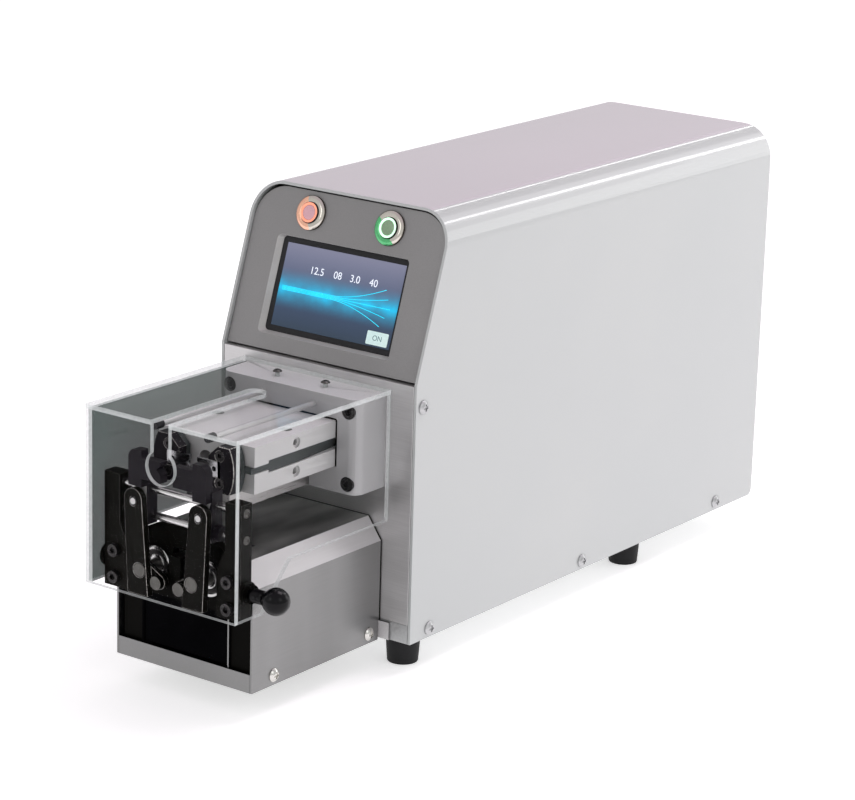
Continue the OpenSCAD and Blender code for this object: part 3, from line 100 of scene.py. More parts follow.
def setStudio(settings):
    world = bpy.data.worlds.new("studio")
    bpy.context.scene.world = world
    world.use_nodes = True
    tree = world.node_tree
    background = tree.nodes["Background"]
    background.inputs["Strength"].default_value = settings["worldStrength"]
    height = tree.nodes.new("ShaderNodeSeparateXYZ")
    tree.links.new(tree.nodes.new("ShaderNodeTexCoord").outputs["Generated"], height.inputs["Vector"])
    spread = tree.nodes.new("ShaderNodeMapRange")
    spread.inputs["From Min"].default_value = settings["skyFrom"]
    tree.links.new(height.outputs["Z"], spread.inputs["Value"])
    skies = tree.nodes.new("ShaderNodeValToRGB")
    stops = skies.color_ramp.elements
    for index, (share, colour) in enumerate(settings["skies"]):
        stop = stops[index] if index < 2 else stops.new(share)
        stop.position = share
        stop.color = (*colour, 1)
    tree.links.new(spread.outputs["Result"], skies.inputs["Fac"])
    tree.links.new(skies.outputs["Color"], background.inputs["Color"])
    for name, place, target, width, length, turn, power, colour in lamps:
        data = bpy.data.lights.new(name, "AREA")
        data.shape = "RECTANGLE"
        data.size = width
        data.size_y = length
        data.energy = power
        data.color = colour
        lamp = bpy.data.objects.new(name, data)
        bpy.context.scene.collection.objects.link(lamp)
        lamp.location = place
        aim = (Vector(target) - Vector(place)).to_track_quat("-Z", "Y").to_matrix()
        lamp.rotation_euler = (aim @ Matrix.Rotation(math.radians(turn), 3, "Z")).to_euler()
    bpy.context.scene.view_settings.view_transform = "Standard"


def addFloor(settings):
    work = bmesh.new()
    bmesh.ops.create_grid(work, x_segments=1, y_segments=1, size=settings["floorSize"] / 2)
    mesh = bpy.data.meshes.new("floor")
    work.to_mesh(mesh)
    work.free()
    floor = bpy.data.objects.new("floor", mesh)
    bpy.context.scene.collection.objects.link(floor)
    finish = bpy.data.materials.new("paleFloor")
    finish.use_nodes = True
    shader = finish.node_tree.nodes["Principled BSDF"]
    shader.inputs["Base Color"].default_value = (*settings["floorColour"], 1)
    shader.inputs["Roughness"].default_value = settings["floorRough"]
    shader.inputs["Specular IOR Level"].default_value = settings["floorSpecular"]
    shader.inputs["Emission Color"].default_value = (1, 1, 1, 1)
    shader.inputs["Emission Strength"].default_value = settings["floorGlow"]
    mesh.materials.append(finish)


# Materials: every finish has its grain, its slow colour change and its relief from noise on the piece


def linkNoise(tree, source, scale, stretch, detail=3.0):
    mapping = tree.nodes.new("ShaderNodeMapping")
    mapping.inputs["Scale"].default_value = stretch
    tree.links.new(source, mapping.inputs["Vector"])
    noise = tree.nodes.new("ShaderNodeTexNoise")
    noise.inputs["Scale"].default_value = scale
    noise.inputs["Detail"].default_value = detail
    tree.links.new(mapping.outputs["Vector"], noise.inputs["Vector"])
    return noise.outputs["Fac"]


def linkRange(tree, source, low, high, fromLow=0.3, fromHigh=0.7):
    spread = tree.nodes.new("ShaderNodeMapRange")
    for socket, value in (("From Min", fromLow), ("From Max", fromHigh), ("To Min", low), ("To Max", high)):
        spread.inputs[socket].default_value = value
    tree.links.new(source, spread.inputs["Value"])
    return spread.outputs["Result"]


def makeFinish(name, look):
    finish = bpy.data.materials.new(name)
    finish.use_nodes = True
    tree = finish.node_tree
    shader = tree.nodes["Principled BSDF"]
    shader.inputs["Metallic"].default_value = look.get("metallic", 0.0)
    shader.inputs["Specular IOR Level"].default_value = look.get("specular", 0.5)
    shader.inputs["Coat Weight"].default_value = look.get("coat", 0.0)
    shader.inputs["Coat Roughness"].default_value = look.get("coatRoughness", 0.1)
    if "alpha" in look:
        shader.inputs["Alpha"].default_value = look["alpha"]
    if "veil" in look:  # clear sheet that mirrors more the flatter it is looked at
        slant = tree.nodes.new("ShaderNodeLayerWeight")
        slant.inputs["Blend"].default_value = 0.5
        curve = tree.nodes.new("ShaderNodeMath")
        curve.operation = "POWER"
        curve.inputs[1].default_value = look["veilPower"]
        tree.links.new(slant.outputs["Facing"], curve.inputs[0])
        mirrored = linkRange(tree, curve.outputs["Value"], 0.0, look["veil"], 0.0, 1.0)
        tree.links.new(mirrored, shader.inputs["Alpha"])
    if "glow" in look:
        shader.inputs["Emission Color"].default_value = (*look["glow"], 1)
        shader.inputs["Emission Strength"].default_value = look["glowStrength"]
    place = tree.nodes.new("ShaderNodeTexCoord").outputs["Object"]
    grain = linkNoise(tree, place, look["grain"], look.get("stretch", (1, 1, 1)))
    slow = linkNoise(tree, place, look["slow"], look.get("slowStretch", (1, 1, 1)), 2.0)
    blend = tree.nodes.new("ShaderNodeMix")
    blend.data_type = "RGBA"
    blend.inputs["A"].default_value = (*look["colour"], 1)
    blend.inputs["B"].default_value = (*look["shade"], 1)
    tree.links.new(linkRange(tree, slow, 0.0, 1.0), blend.inputs["Factor"])
    tint = tree.nodes.new("ShaderNodeMix")
    tint.data_type = "RGBA"
    tint.blend_type = "MULTIPLY"
    tint.inputs["Factor"].default_value = 1.0
    tree.links.new(blend.outputs["Result"], tint.inputs["A"])
    depth = look.get("grainDepth", 0.04)
    tone = tree.nodes.new("ShaderNodeCombineColor")
    value = linkRange(tree, grain, 1.0 - depth, 1.0 + depth)
    for channel in ("Red", "Green", "Blue"):
        tree.links.new(value, tone.inputs[channel])
    tree.links.new(tone.outputs["Color"], tint.inputs["B"])
    tree.links.new(tint.outputs["Result"], shader.inputs["Base Color"])
    low, high = look["rough"]
    tree.links.new(linkRange(tree, grain, low, high), shader.inputs["Roughness"])
    if look.get("relief", 0.0):
        bump = tree.nodes.new("ShaderNodeBump")
        bump.inputs["Strength"].default_value = look["relief"]
        bump.inputs["Distance"].default_value = look.get("reliefDepth", 0.0001)
        tree.links.new(grain, bump.inputs["Height"])
        tree.links.new(bump.outputs["Normal"], shader.inputs["Normal"])
    return finish


looks = {
    "powderWhite": {"colour": (0.492, 0.508, 0.502), "shade": (0.472, 0.492, 0.490), "grain": 1400,
                    "grainDepth": 0.015, "rough": (0.30, 0.42), "relief": 0.06, "reliefDepth": 0.00005,
                    "slow": 6, "coat": 0.9, "coatRoughness": 0.07},
    # painted reflection: the cover's flat top is pinker than its sides, for the light the top reflects
    "coverTopReflectionTint": {"colour": (0.572, 0.502, 0.558), "shade": (0.548, 0.484, 0.538), "grain": 1400,
                  "grainDepth": 0.015, "rough": (0.30, 0.42), "relief": 0.06, "reliefDepth": 0.00005,
                  "slow": 6, "coat": 0.9, "coatRoughness": 0.07},
    "satinGrey": {"colour": (0.25, 0.245, 0.245), "shade": (0.29, 0.285, 0.285), "grain": 1500,
                  "grainDepth": 0.05, "rough": (0.32, 0.46), "relief": 0.15, "slow": 9, "metallic": 0.35},
    "rearGrey": {"colour": (0.52, 0.53, 0.54), "shade": (0.47, 0.48, 0.49), "grain": 1500,
                 "grainDepth": 0.03, "rough": (0.35, 0.5), "relief": 0.12, "slow": 12},
    "brushedPlate": {"colour": (0.66, 0.655, 0.655), "shade": (0.56, 0.555, 0.555), "metallic": 0.75,
                     "grain": 900, "stretch": (0.04, 0.04, 1.6), "grainDepth": 0.06, "rough": (0.30, 0.42),
                     "relief": 0.07, "slow": 14, "slowStretch": (0.6, 0.6, 2.0)},
    "brushedLength": {"colour": (0.275, 0.276, 0.274), "shade": (0.225, 0.226, 0.224), "metallic": 1.0,
                      "grain": 900, "stretch": (1.6, 0.03, 1.6), "grainDepth": 0.035, "rough": (0.28, 0.38),
                      "relief": 0.04, "slow": 12, "slowStretch": (0.8, 1.6, 0.4)},
    # lighter copy of the base steel for the base cover's chamfers: painted reflection of the bright
    # surroundings
    "chamferPaintedHighlight": {"colour": (0.60, 0.585, 0.592), "shade": (0.54, 0.53, 0.535), "metallic": 0.4,
                     "grain": 900, "stretch": (1.6, 0.03, 1.6), "grainDepth": 0.025, "rough": (0.28, 0.34),
                     "relief": 0.03, "slow": 12, "slowStretch": (2.0, 0.4, 2.0)},
    # base cover's top: painted reflection of the dark head above it, in long light and dark patches
    "topPaintedReflection": {"colour": (0.86, 0.86, 0.84), "shade": (0.28, 0.28, 0.275), "metallic": 1.0,
                    "grain": 900, "stretch": (1.6, 0.03, 1.6), "grainDepth": 0.04, "rough": (0.28, 0.40),
                    "relief": 0.05, "slow": 26, "slowStretch": (1.6, 0.5, 1.0)},
    "anodised": {"colour": (0.50, 0.50, 0.498), "shade": (0.45, 0.45, 0.448), "metallic": 0.15,
                 "grain": 1600, "grainDepth": 0.05, "rough": (0.30, 0.44), "relief": 0.1, "slow": 20},
    # darker copy of the aluminium for the flange block: painted shade, as its front faces away from the
    # light
    "flangePaintedShade": {"colour": (0.41, 0.41, 0.415), "shade": (0.37, 0.37, 0.375), "metallic": 0.15,
                   "grain": 1600, "grainDepth": 0.05, "rough": (0.34, 0.48), "relief": 0.08, "slow": 20},
    # lighter copy of the aluminium for the flat tops of the head and the flange block: painted reflection
    # of the bright surroundings
    "topPaintedHighlight": {"colour": (0.74, 0.735, 0.735), "shade": (0.68, 0.675, 0.675), "metallic": 0.0,
                 "grain": 1600, "grainDepth": 0.04, "rough": (0.26, 0.38), "relief": 0.05, "slow": 20},
    "rodSteel": {"colour": (0.58, 0.58, 0.575), "shade": (0.50, 0.50, 0.495), "metallic": 0.5,
                 "grain": 1500, "grainDepth": 0.05, "rough": (0.36, 0.46), "slow": 40},
    # lighter copy of the base steel for the front faces of the base's ears: painted light where they lie in
    # shade
    "earPaintedLight": {"colour": (0.66, 0.65, 0.655), "shade": (0.60, 0.59, 0.595), "metallic": 0.3, "grain": 900,
                 "grainDepth": 0.05, "rough": (0.30, 0.42), "slow": 40},
    "milled": {"colour": (0.55, 0.555, 0.56), "shade": (0.48, 0.485, 0.49), "metallic": 1.0, "grain": 700,
               "stretch": (1.0, 0.15, 1.0), "grainDepth": 0.08, "rough": (0.3, 0.48), "relief": 0.15,
               "slow": 15},
    "beamSteel": {"colour": (0.36, 0.355, 0.35), "shade": (0.30, 0.295, 0.29), "metallic": 1.0,
                  "grain": 900, "stretch": (1.0, 0.05, 1.0), "grainDepth": 0.10, "rough": (0.25, 0.4),
                  "relief": 0.12, "slow": 15},
    "groundSteel": {"colour": (0.66, 0.655, 0.65), "shade": (0.58, 0.575, 0.57), "metallic": 1.0,
                    "grain": 1500, "grainDepth": 0.06, "rough": (0.16, 0.28), "relief": 0.05, "slow": 40},
    "dullSteel": {"colour": (0.13, 0.128, 0.12), "shade": (0.085, 0.083, 0.078), "metallic": 0.9,
                  "grain": 1500, "grainDepth": 0.1, "rough": (0.30, 0.42), "slow": 120},
    "nickel": {"colour": (0.70, 0.69, 0.66), "shade": (0.62, 0.61, 0.58), "metallic": 1.0, "grain": 1800,
               "grainDepth": 0.05, "rough": (0.14, 0.26), "relief": 0.05, "slow": 60},
    "bladeSteel": {"colour": (0.36, 0.36, 0.37), "shade": (0.30, 0.30, 0.31), "metallic": 1.0,
                   "grain": 1500, "stretch": (0.2, 1.0, 1.0), "grainDepth": 0.06, "rough": (0.1, 0.22),
                   "relief": 0.05, "slow": 60},
    "blackOxide": {"colour": (0.0030, 0.0028, 0.0021), "shade": (0.0054, 0.0050, 0.0039), "grain": 2400,
                   "grainDepth": 0.14, "rough": (0.34, 0.42), "slow": 30, "specular": 0.045},
    "jawOxide": {"colour": (0.0078, 0.0064, 0.0088), "shade": (0.0130, 0.0108, 0.0144), "grain": 2400,
                 "grainDepth": 0.14, "rough": (0.36, 0.46), "slow": 30, "specular": 0.09},
    "armOxide": {"colour": (0.034, 0.040, 0.040), "shade": (0.046, 0.054, 0.054), "grain": 2400,
                 "grainDepth": 0.1, "rough": (0.34, 0.44), "slow": 30, "specular": 0.2},
    "deepBlack": {"colour": (0.0018, 0.0017, 0.0013), "shade": (0.0032, 0.0030, 0.0024), "grain": 2400,
                  "grainDepth": 0.14, "rough": (0.36, 0.44), "slow": 30, "specular": 0.025},
    # light bevels of the black parts: bare worn edges, and painted highlights along them
    "edgeWearAndHighlight": {"colour": (0.60, 0.585, 0.56), "shade": (0.30, 0.29, 0.275), "metallic": 0.8,
                  "grain": 700, "grainDepth": 0.3, "rough": (0.22, 0.36), "slow": 160},
    "darkScrew": {"colour": (0.03, 0.029, 0.03), "shade": (0.055, 0.052, 0.052), "metallic": 0.8,
                  "grain": 1500, "grainDepth": 0.15, "rough": (0.25, 0.38), "slow": 80, "specular": 0.3},
    "rubber": {"colour": (0.010, 0.010, 0.011), "shade": (0.016, 0.016, 0.017), "grain": 1300,
               "grainDepth": 0.2, "rough": (0.5, 0.68), "relief": 0.2, "slow": 40, "specular": 0.2},
    "blackPlastic": {"colour": (0.012, 0.012, 0.014), "shade": (0.018, 0.018, 0.020), "grain": 1600,
                     "grainDepth": 0.12, "rough": (0.34, 0.5), "relief": 0.15, "slow": 30,
                     "specular": 0.25},
    "trayBlack": {"colour": (0.0022, 0.0022, 0.0026), "shade": (0.0034, 0.0034, 0.004), "grain": 900,
                  "grainDepth": 0.15, "rough": (0.5, 0.65), "slow": 40, "specular": 0.0},
    "boardGreen": {"colour": (0.012, 0.10, 0.04), "shade": (0.018, 0.13, 0.055), "grain": 900,
                   "grainDepth": 0.15, "rough": (0.3, 0.45), "relief": 0.1, "slow": 60},
    "supplySheet": {"colour": (0.55, 0.56, 0.57), "shade": (0.5, 0.51, 0.52), "metallic": 1.0,
                    "grain": 1200, "grainDepth": 0.06, "rough": (0.3, 0.45), "relief": 0.1, "slow": 25},
    "rockerRed": {"colour": (0.42, 0.018, 0.012), "shade": (0.36, 0.014, 0.01), "grain": 900,
                  "grainDepth": 0.06, "rough": (0.12, 0.22), "slow": 50, "coat": 0.4,
                  "coatRoughness": 0.08},
    "clearSheet": {"colour": (0.86, 0.88, 0.88), "shade": (0.80, 0.83, 0.83), "metallic": 1.0, "grain": 300,
                   "grainDepth": 0.02, "rough": (0.03, 0.07), "slow": 8, "veil": 0.30, "veilPower": 5.0},
    # left side sheet: its dark green is a painted reflection of the dark parts seen in it
    "sheetPaintedReflection": {"colour": (0.010, 0.048, 0.037), "shade": (0.034, 0.082, 0.070), "grain": 300,
                   "grainDepth": 0.01, "rough": (0.065, 0.07), "slow": 9, "alpha": 0.72, "specular": 0.15},
    # whitish cut edges of the guard's sheets, with a painted glow for the light they catch
    "edgePaintedGlow": {"colour": (0.74, 0.77, 0.77), "shade": (0.62, 0.67, 0.66), "grain": 500,
                  "grainDepth": 0.06, "rough": (0.2, 0.35), "slow": 60, "alpha": 0.48,
                  "glow": (0.92, 0.92, 0.92), "glowStrength": 0.12},
    "orangeRing": {"colour": (0.85, 0.30, 0.18), "shade": (0.90, 0.40, 0.26), "grain": 300,
                   "grainDepth": 0.05, "rough": (0.3, 0.4), "slow": 120, "glow": (1.0, 0.30, 0.18),
                   "glowStrength": 0.55},
    "greenRing": {"colour": (0.62, 0.92, 0.68), "shade": (0.68, 0.95, 0.74), "grain": 300,
                  "grainDepth": 0.05, "rough": (0.3, 0.4), "slow": 120, "glow": (0.55, 1.0, 0.64),
                  "glowStrength": 0.80},
    "headSteel": {"colour": (0.74, 0.70, 0.63), "shade": (0.66, 0.62, 0.56), "metallic": 1.0, "grain": 1500,
                  "grainDepth": 0.04, "rough": (0.10, 0.18), "relief": 0.03, "slow": 60},
    "headShade": {"colour": (0.15, 0.13, 0.11), "shade": (0.10, 0.09, 0.08), "metallic": 1.0, "grain": 1500,
                  "grainDepth": 0.06, "rough": (0.20, 0.30), "slow": 90},
    # painted reflection of the lit ring on the steel of the button head beside it
    "orangeRingReflection": {"colour": (0.86, 0.46, 0.34), "shade": (0.88, 0.56, 0.40), "metallic": 0.8,
                   "grain": 1500, "grainDepth": 0.04, "rough": (0.14, 0.24), "slow": 160,
                   "glow": (1.0, 0.42, 0.25), "glowStrength": 0.14},
    "greenRingReflection": {"colour": (0.10, 0.42, 0.17), "shade": (0.16, 0.50, 0.24), "metallic": 0.8, "grain": 1500,
                  "grainDepth": 0.04, "rough": (0.14, 0.24), "slow": 160, "glow": (0.10, 0.90, 0.30),
                  "glowStrength": 0.10},
    "knobBlack": {"colour": (0.0022, 0.0022, 0.0028), "shade": (0.004, 0.004, 0.005), "grain": 700,
                  "grainDepth": 0.1, "rough": (0.12, 0.20), "slow": 60, "specular": 0.17},
    "screenWhite": {"colour": (0.75, 0.78, 0.85), "shade": (0.65, 0.7, 0.8), "grain": 900,
                    "rough": (0.2, 0.3), "slow": 90, "glow": (0.8, 0.86, 0.95), "glowStrength": 0.55},
    "screenCyan": {"colour": (0.0, 0.55, 0.75), "shade": (0.05, 0.7, 0.85), "grain": 500,
                   "rough": (0.2, 0.3), "slow": 60, "glow": (0.0, 0.62, 0.85), "glowStrength": 0.8},
    "screenTile": {"colour": (0.50, 0.66, 0.66), "shade": (0.58, 0.72, 0.68), "grain": 400,
                   "rough": (0.2, 0.3), "slow": 90, "glow": (0.55, 0.72, 0.70), "glowStrength": 0.45},
    "screenInk": {"colour": (0.10, 0.22, 0.26), "shade": (0.14, 0.28, 0.30), "grain": 600,
                  "rough": (0.3, 0.4), "slow": 90},
    # the disc's glow is painted light from the lit ring round it
    "pinkDisc": {"colour": (0.66, 0.40, 0.44), "shade": (0.60, 0.36, 0.42), "metallic": 0.1, "grain": 900,
                 "grainDepth": 0.06, "rough": (0.25, 0.4), "slow": 90, "glow": (1.0, 0.42, 0.40),
                 "glowStrength": 0.10},
    "greenDisc": {"colour": (0.27, 0.40, 0.25), "shade": (0.20, 0.33, 0.19), "metallic": 0.1, "grain": 900,
                  "grainDepth": 0.06, "rough": (0.25, 0.4), "slow": 90},
    # lighter copy of the panel's grey for the window's return wall: painted highlight on its bend
    "returnPaintedHighlight": {"colour": (0.52, 0.515, 0.50), "shade": (0.46, 0.455, 0.445), "grain": 1500,
                    "grainDepth": 0.05, "rough": (0.3, 0.42), "slow": 60, "metallic": 0.2},
}
finishes = {name: makeFinish(name, look) for name, look in looks.items()}
print("finishes", len(finishes))


# Pieces


def smoothMesh(mesh, degrees=32):
    for face in mesh.polygons:
        face.use_smooth = True
    mesh.set_sharp_from_angle(angle=math.radians(degrees))


def addPiece(work, name, body, materials, replaced=(), degrees=32):
    mesh = bpy.data.meshes.new(name)
    work.to_mesh(mesh)
    work.free()
    for finish in materials:
        mesh.materials.append(finishes[finish] if isinstance(finish, str) else finish)
    smoothMesh(mesh, degrees)
    piece = bpy.data.objects.new(name, mesh)
    bpy.context.scene.collection.objects.link(piece)
    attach(piece, body)
    if replaced:
        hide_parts(*replaced)
    return piece


mergeWithin = 0.001  # mm: points of an outline this close are one point


def traceLoop(work, path):  # closed outline: corners (x, y) and arcs (centre x, y, degrees, segments)
    first = last = None
    for step in path:
        if len(step) == 2:
            corner = work.verts.new((*step, 0))
            if last:
                work.edges.new((last, corner))
            first, last = first or corner, corner
        else:
            spun = bmesh.ops.spin(work, geom=[last], cent=(step[0], step[1], 0), axis=(0, 0, 1),
                                  dvec=(0, 0, 0), angle=math.radians(step[2]), steps=step[3],
                                  use_duplicate=False)
            last = [part for part in spun["geom_last"] if isinstance(part, bmesh.types.BMVert)][0]
    if (last.co - first.co).length > mergeWithin:
        work.edges.new((last, first))


def easeEdges(work, width, degrees=50):
    limit = math.radians(degrees)
    sharp = [edge for edge in work.edges if len(edge.link_faces) == 2 and edge.calc_face_angle() > limit]
    bmesh.ops.bevel(work, geom=sharp, offset=width, offset_type="OFFSET", affect="EDGES", segments=1,
                    profile=0.5, material=-1, clamp_overlap=True)


def cutSheet(loops, thick, matrix, ease):  # flat sheet from its outline and holes: faces 0, edges 1
    work = bmesh.new()
    for path in loops:
        traceLoop(work, path)
    bmesh.ops.remove_doubles(work, verts=work.verts, dist=mergeWithin)
    bmesh.ops.triangle_fill(work, edges=work.edges, use_beauty=True, use_dissolve=True, normal=(0, 0, 1))
    raised = bmesh.ops.extrude_face_region(work, geom=work.faces[:])["geom"]
    bmesh.ops.translate(work, verts=[part for part in raised if isinstance(part, bmesh.types.BMVert)],
                        vec=(0, 0, thick))
    bmesh.ops.recalc_face_normals(work, faces=work.faces)
    easeEdges(work, ease)
    for face in work.faces:
        face.material_index = 0 if abs(face.normal.z) > 0.99 else 1
    work.transform(matrix)
    return work


def turned(outline, matrix, bands=(), closed=False, steps=72):  # (radius, height) outline spun round Z
    work = bmesh.new()
    spots = [work.verts.new((radius, 0, height)) for radius, height in outline]
    pairs = zip(spots, spots[1:] + spots[:1] if closed else spots[1:])
    for pair in pairs:
        work.edges.new(pair)
    bmesh.ops.spin(work, geom=work.verts[:] + work.edges[:], cent=(0, 0, 0), axis=(0, 0, 1), dvec=(0, 0, 0),
                   angle=math.tau, steps=steps, use_merge=True, use_duplicate=False)
    bmesh.ops.remove_doubles(work, verts=work.verts, dist=mergeWithin)
    bmesh.ops.recalc_face_normals(work, faces=work.faces)
    for low, high, index in bands:
        for face in work.faces:
            if low < face.calc_center_median().xy.length < high and face.normal.z > 0.3:
                face.material_index = index
    work.transform(matrix)
    return work


bodyOf = {node: body for body, nodes in frame["record"]["behaviour"]["bodies"].items() for node in nodes}


# The return edge of the panel's window slopes out to the left and below
window = {"half": 58.0, "low": 10.0, "high": 84.0, "front": -3.0, "leftRim": -50.0, "lowRim": 18.0,
          "leftMove": 3.0, "lowMove": 2.5}


def slopeWindow(work, settings):
    toPanel, toDrawing = panelFrame(0, 0, 0).inverted(), panelFrame(0, 0, 0).to_3x3()
    for vert in work.verts:
        spot = (toPanel @ vert.co) * 1000
        inside = abs(spot.x) < settings["half"] and settings["low"] < spot.y < settings["high"]
        if inside and spot.z > settings["front"]:
            left = settings["leftMove"] if spot.x < settings["leftRim"] else 0.0
            down = settings["lowMove"] if spot.y < settings["lowRim"] else 0.0
            vert.co -= toDrawing @ Vector((left, down, 0)) / 1000


# Metres and degrees: short edges are merged, because they would narrow the bevel of the whole piece
eased = {"weld": 0.000002, "flat": 0.5, "short": 0.00007, "sharp": 35, "segments": 2}
shortEdges = {"jaw_left": 0.00013, "jaw_right": 0.00013}


def softened(node, finish, width, edge, paints):  # copy of a node with eased edges
    work = bmesh.new()
    work.from_mesh(frame["nodes"][node].data)
    bmesh.ops.remove_doubles(work, verts=work.verts, dist=eased["weld"])
    bmesh.ops.dissolve_limit(work, angle_limit=math.radians(eased["flat"]), verts=work.verts,
                             edges=work.edges)
    bmesh.ops.remove_doubles(work, verts=work.verts, dist=shortEdges.get(node, eased["short"]))
    if node == "display_panel":
        slopeWindow(work, window)
    work.normal_update()
    for face in work.faces:
        middle = inDrawing(face.calc_center_median())
        hits = [index for index, (other, test) in enumerate(paints) if test(middle, face.normal)]
        face.material_index = 2 + hits[0] if hits else 0
    mesh = bpy.data.meshes.new(node + "Shaped")
    work.to_mesh(mesh)
    work.free()
    for name in (finish, edge or finish, *(other for other, test in paints)):
        mesh.materials.append(finishes[name])
    smoothMesh(mesh)
    piece = bpy.data.objects.new(node + "Shaped", mesh)
    bpy.context.scene.collection.objects.link(piece)
    easing = piece.modifiers.new("easedEdges", "BEVEL")
    easing.width = width / 1000
    easing.segments = eased["segments"]
    easing.limit_method = "ANGLE"
    easing.angle_limit = math.radians(eased["sharp"])
    easing.harden_normals = True
    easing.use_clamp_overlap = True
    easing.miter_outer = "MITER_ARC"
    if edge:
        easing.material = 1
    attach(piece, bodyOf[node])
    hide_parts(node)
    return piece


shaped = {  # node: finish, width of its eased edges in mm, finish of the edges
    "housing_cover": ("powderWhite", 0.45, None),
    "front_plate": ("brushedPlate", 0.5, None),
    "base_plate": ("milled", 0.5, None),
    "rear_panel": ("rearGrey", 0.25, None),
    "cover_screws": ("milled", 0.2, None),
    "rubber_feet": ("rubber", 0.8, None),
    "display_panel": ("satinGrey", 0.3, None),
    "display_module": ("blackPlastic", 0.3, None),
    "guard_screws": ("dullSteel", 0.12, None),
    "flange_block": ("flangePaintedShade", 0.5, None),
    "flange_screws": ("darkScrew", 0.35, None),
    "top_rods": ("rodSteel", 0.3, None),
    "rod_caps": ("blackPlastic", 0.4, None),
    "guide_beam": ("beamSteel", 0.5, None),
    "quill_body": ("anodised", 0.5, None),
    "arm_pins": ("darkScrew", 0.3, None),
    "blade_arm_left": ("armOxide", 0.35, None),
    "blade_arm_right": ("armOxide", 0.35, None),
    "blade_holder_left": ("jawOxide", 0.5, "edgeWearAndHighlight"),
    "blade_holder_right": ("jawOxide", 0.5, "edgeWearAndHighlight"),
    "blade_left": ("bladeSteel", 0.15, None),
    "blade_right": ("bladeSteel", 0.15, None),
    "holder_screws_left": ("darkScrew", 0.25, None),
    "holder_screws_right": ("darkScrew", 0.25, None),
    "closing_cone": ("groundSteel", 0.3, None),
    "closing_motor": ("blackPlastic", 0.5, None),
    "feed_carriage": ("milled", 0.4, None),
    "lead_screw": ("groundSteel", 0.4, None),
    "feed_motor": ("blackPlastic", 0.8, None),
    "feed_bed": ("milled", 0.5, None),
    "clamp_plate": ("deepBlack", 0.35, None),
    "clamp_posts": ("blackOxide", 0.45, "edgeWearAndHighlight"),
    "post_hubs": ("blackOxide", 0.4, None),
    "clamp_screws": ("darkScrew", 0.3, None),
    "cross_rods": ("groundSteel", 0.2, None),
    "jaw_left": ("jawOxide", 0.4, None),
    "jaw_right": ("jawOxide", 0.4, None),
    "lever_left": ("blackOxide", 0.55, "edgeWearAndHighlight"),
    "lever_right": ("blackOxide", 0.55, "edgeWearAndHighlight"),
    "pivot_shafts": ("dullSteel", 0.4, None),
    "crosshead": ("deepBlack", 0.35, None),
    "clamp_actuator": ("milled", 0.5, None),
    "knob_screw": ("knobBlack", 0.4, None),
    "base_chassis": ("brushedLength", 0.2, None),
    "base_cover": ("brushedLength", 0.35, None),
    "base_screws": ("nickel", 0.15, None),
    "scrap_tray": ("trayBlack", 0.3, None),
    "power_supply": ("supplySheet", 0.6, None),
    "control_board": ("boardGreen", 0.2, None),
    "fan_frame": ("blackPlastic", 0.5, None),
    "fan_rotor": ("blackPlastic", 0.2, None),
    "inlet_socket": ("blackPlastic", 0.3, None),
    "power_rocker": ("rockerRed", 0.4, None),
}
panelTurn = panelFrame(0, 0, 0).to_3x3().inverted()
parts = {"bayHalf": 39.0, "bayFloor": 1.0, "lipRear": 131.6, "wallSide": 35.0, "pinX": 27.1, "pinUp": 113.6,
         "pinRadius": 2.4, "linkX": 9.45, "linkUp": 62.0, "linkRadius": 4.7, "postSide": 56.5,
         "windowX": 58.0, "straight": 0.9, "slanted": 0.3, "upright": 0.95, "wallTurn": 0.75,
         "earFrom": 50.0, "earRear": -3.0}


def isBayWall(spot, normal):  # walls of the tray's bay, all but the bare front edge of the right one
    inside = abs(spot.x) < parts["bayHalf"] and spot.z > parts["bayFloor"] and spot.y > -parts["lipRear"]
    return inside and not (normal.y < -parts["straight"] and spot.x > parts["wallSide"])


def isChamfer(spot, normal):
    return normal.z > parts["slanted"] and abs(normal.x) > parts["slanted"]


def isEar(spot, normal):
    return normal.y < -parts["straight"] and abs(spot.x) > parts["earFrom"] and spot.y > parts["earRear"]


def isTop(spot, normal):
    return normal.z > parts["upright"]


def isEnd(spot, normal, x, up, radius):  # front end of a pin along Y on either side
    return normal.y < -parts["straight"] and math.hypot(abs(spot.x) - x, spot.z - up) < radius


def isJawPin(spot, normal):
    return isEnd(spot, normal, parts["pinX"], parts["pinUp"], parts["pinRadius"])


def isLinkHead(spot, normal):
    return isEnd(spot, normal, parts["linkX"], parts["linkUp"], parts["linkRadius"])


def isPostSide(spot, normal):
    return abs(spot.x) > parts["postSide"]


def isWindowWall(spot, normal):
    return abs((panelTurn @ normal).z) < parts["wallTurn"] and abs(spot.x) < parts["windowX"]


painted = {"base_chassis": [("trayBlack", isBayWall), ("earPaintedLight", isEar)],
           "base_cover": [("chamferPaintedHighlight", isChamfer), ("topPaintedReflection", isTop)],
           "clamp_screws": [("dullSteel", isPostSide)],
           "jaw_left": [("rodSteel", isJawPin)], "jaw_right": [("rodSteel", isJawPin)],
           "crosshead": [("dullSteel", isLinkHead)], "display_panel": [("returnPaintedHighlight", isWindowWall)],
           "quill_body": [("topPaintedHighlight", isTop)], "flange_block": [("topPaintedHighlight", isTop)],
           "housing_cover": [("coverTopReflectionTint", isTop)]}
for node, (finish, width, edge) in shaped.items():
    softened(node, finish, width, edge, painted.get(node, ()))
print("shaped nodes", len(shaped))

setCamera(camera)
setStudio(studio)
addFloor(studio)


# Clear guard: front, top and two stepped sides, glued at their edges

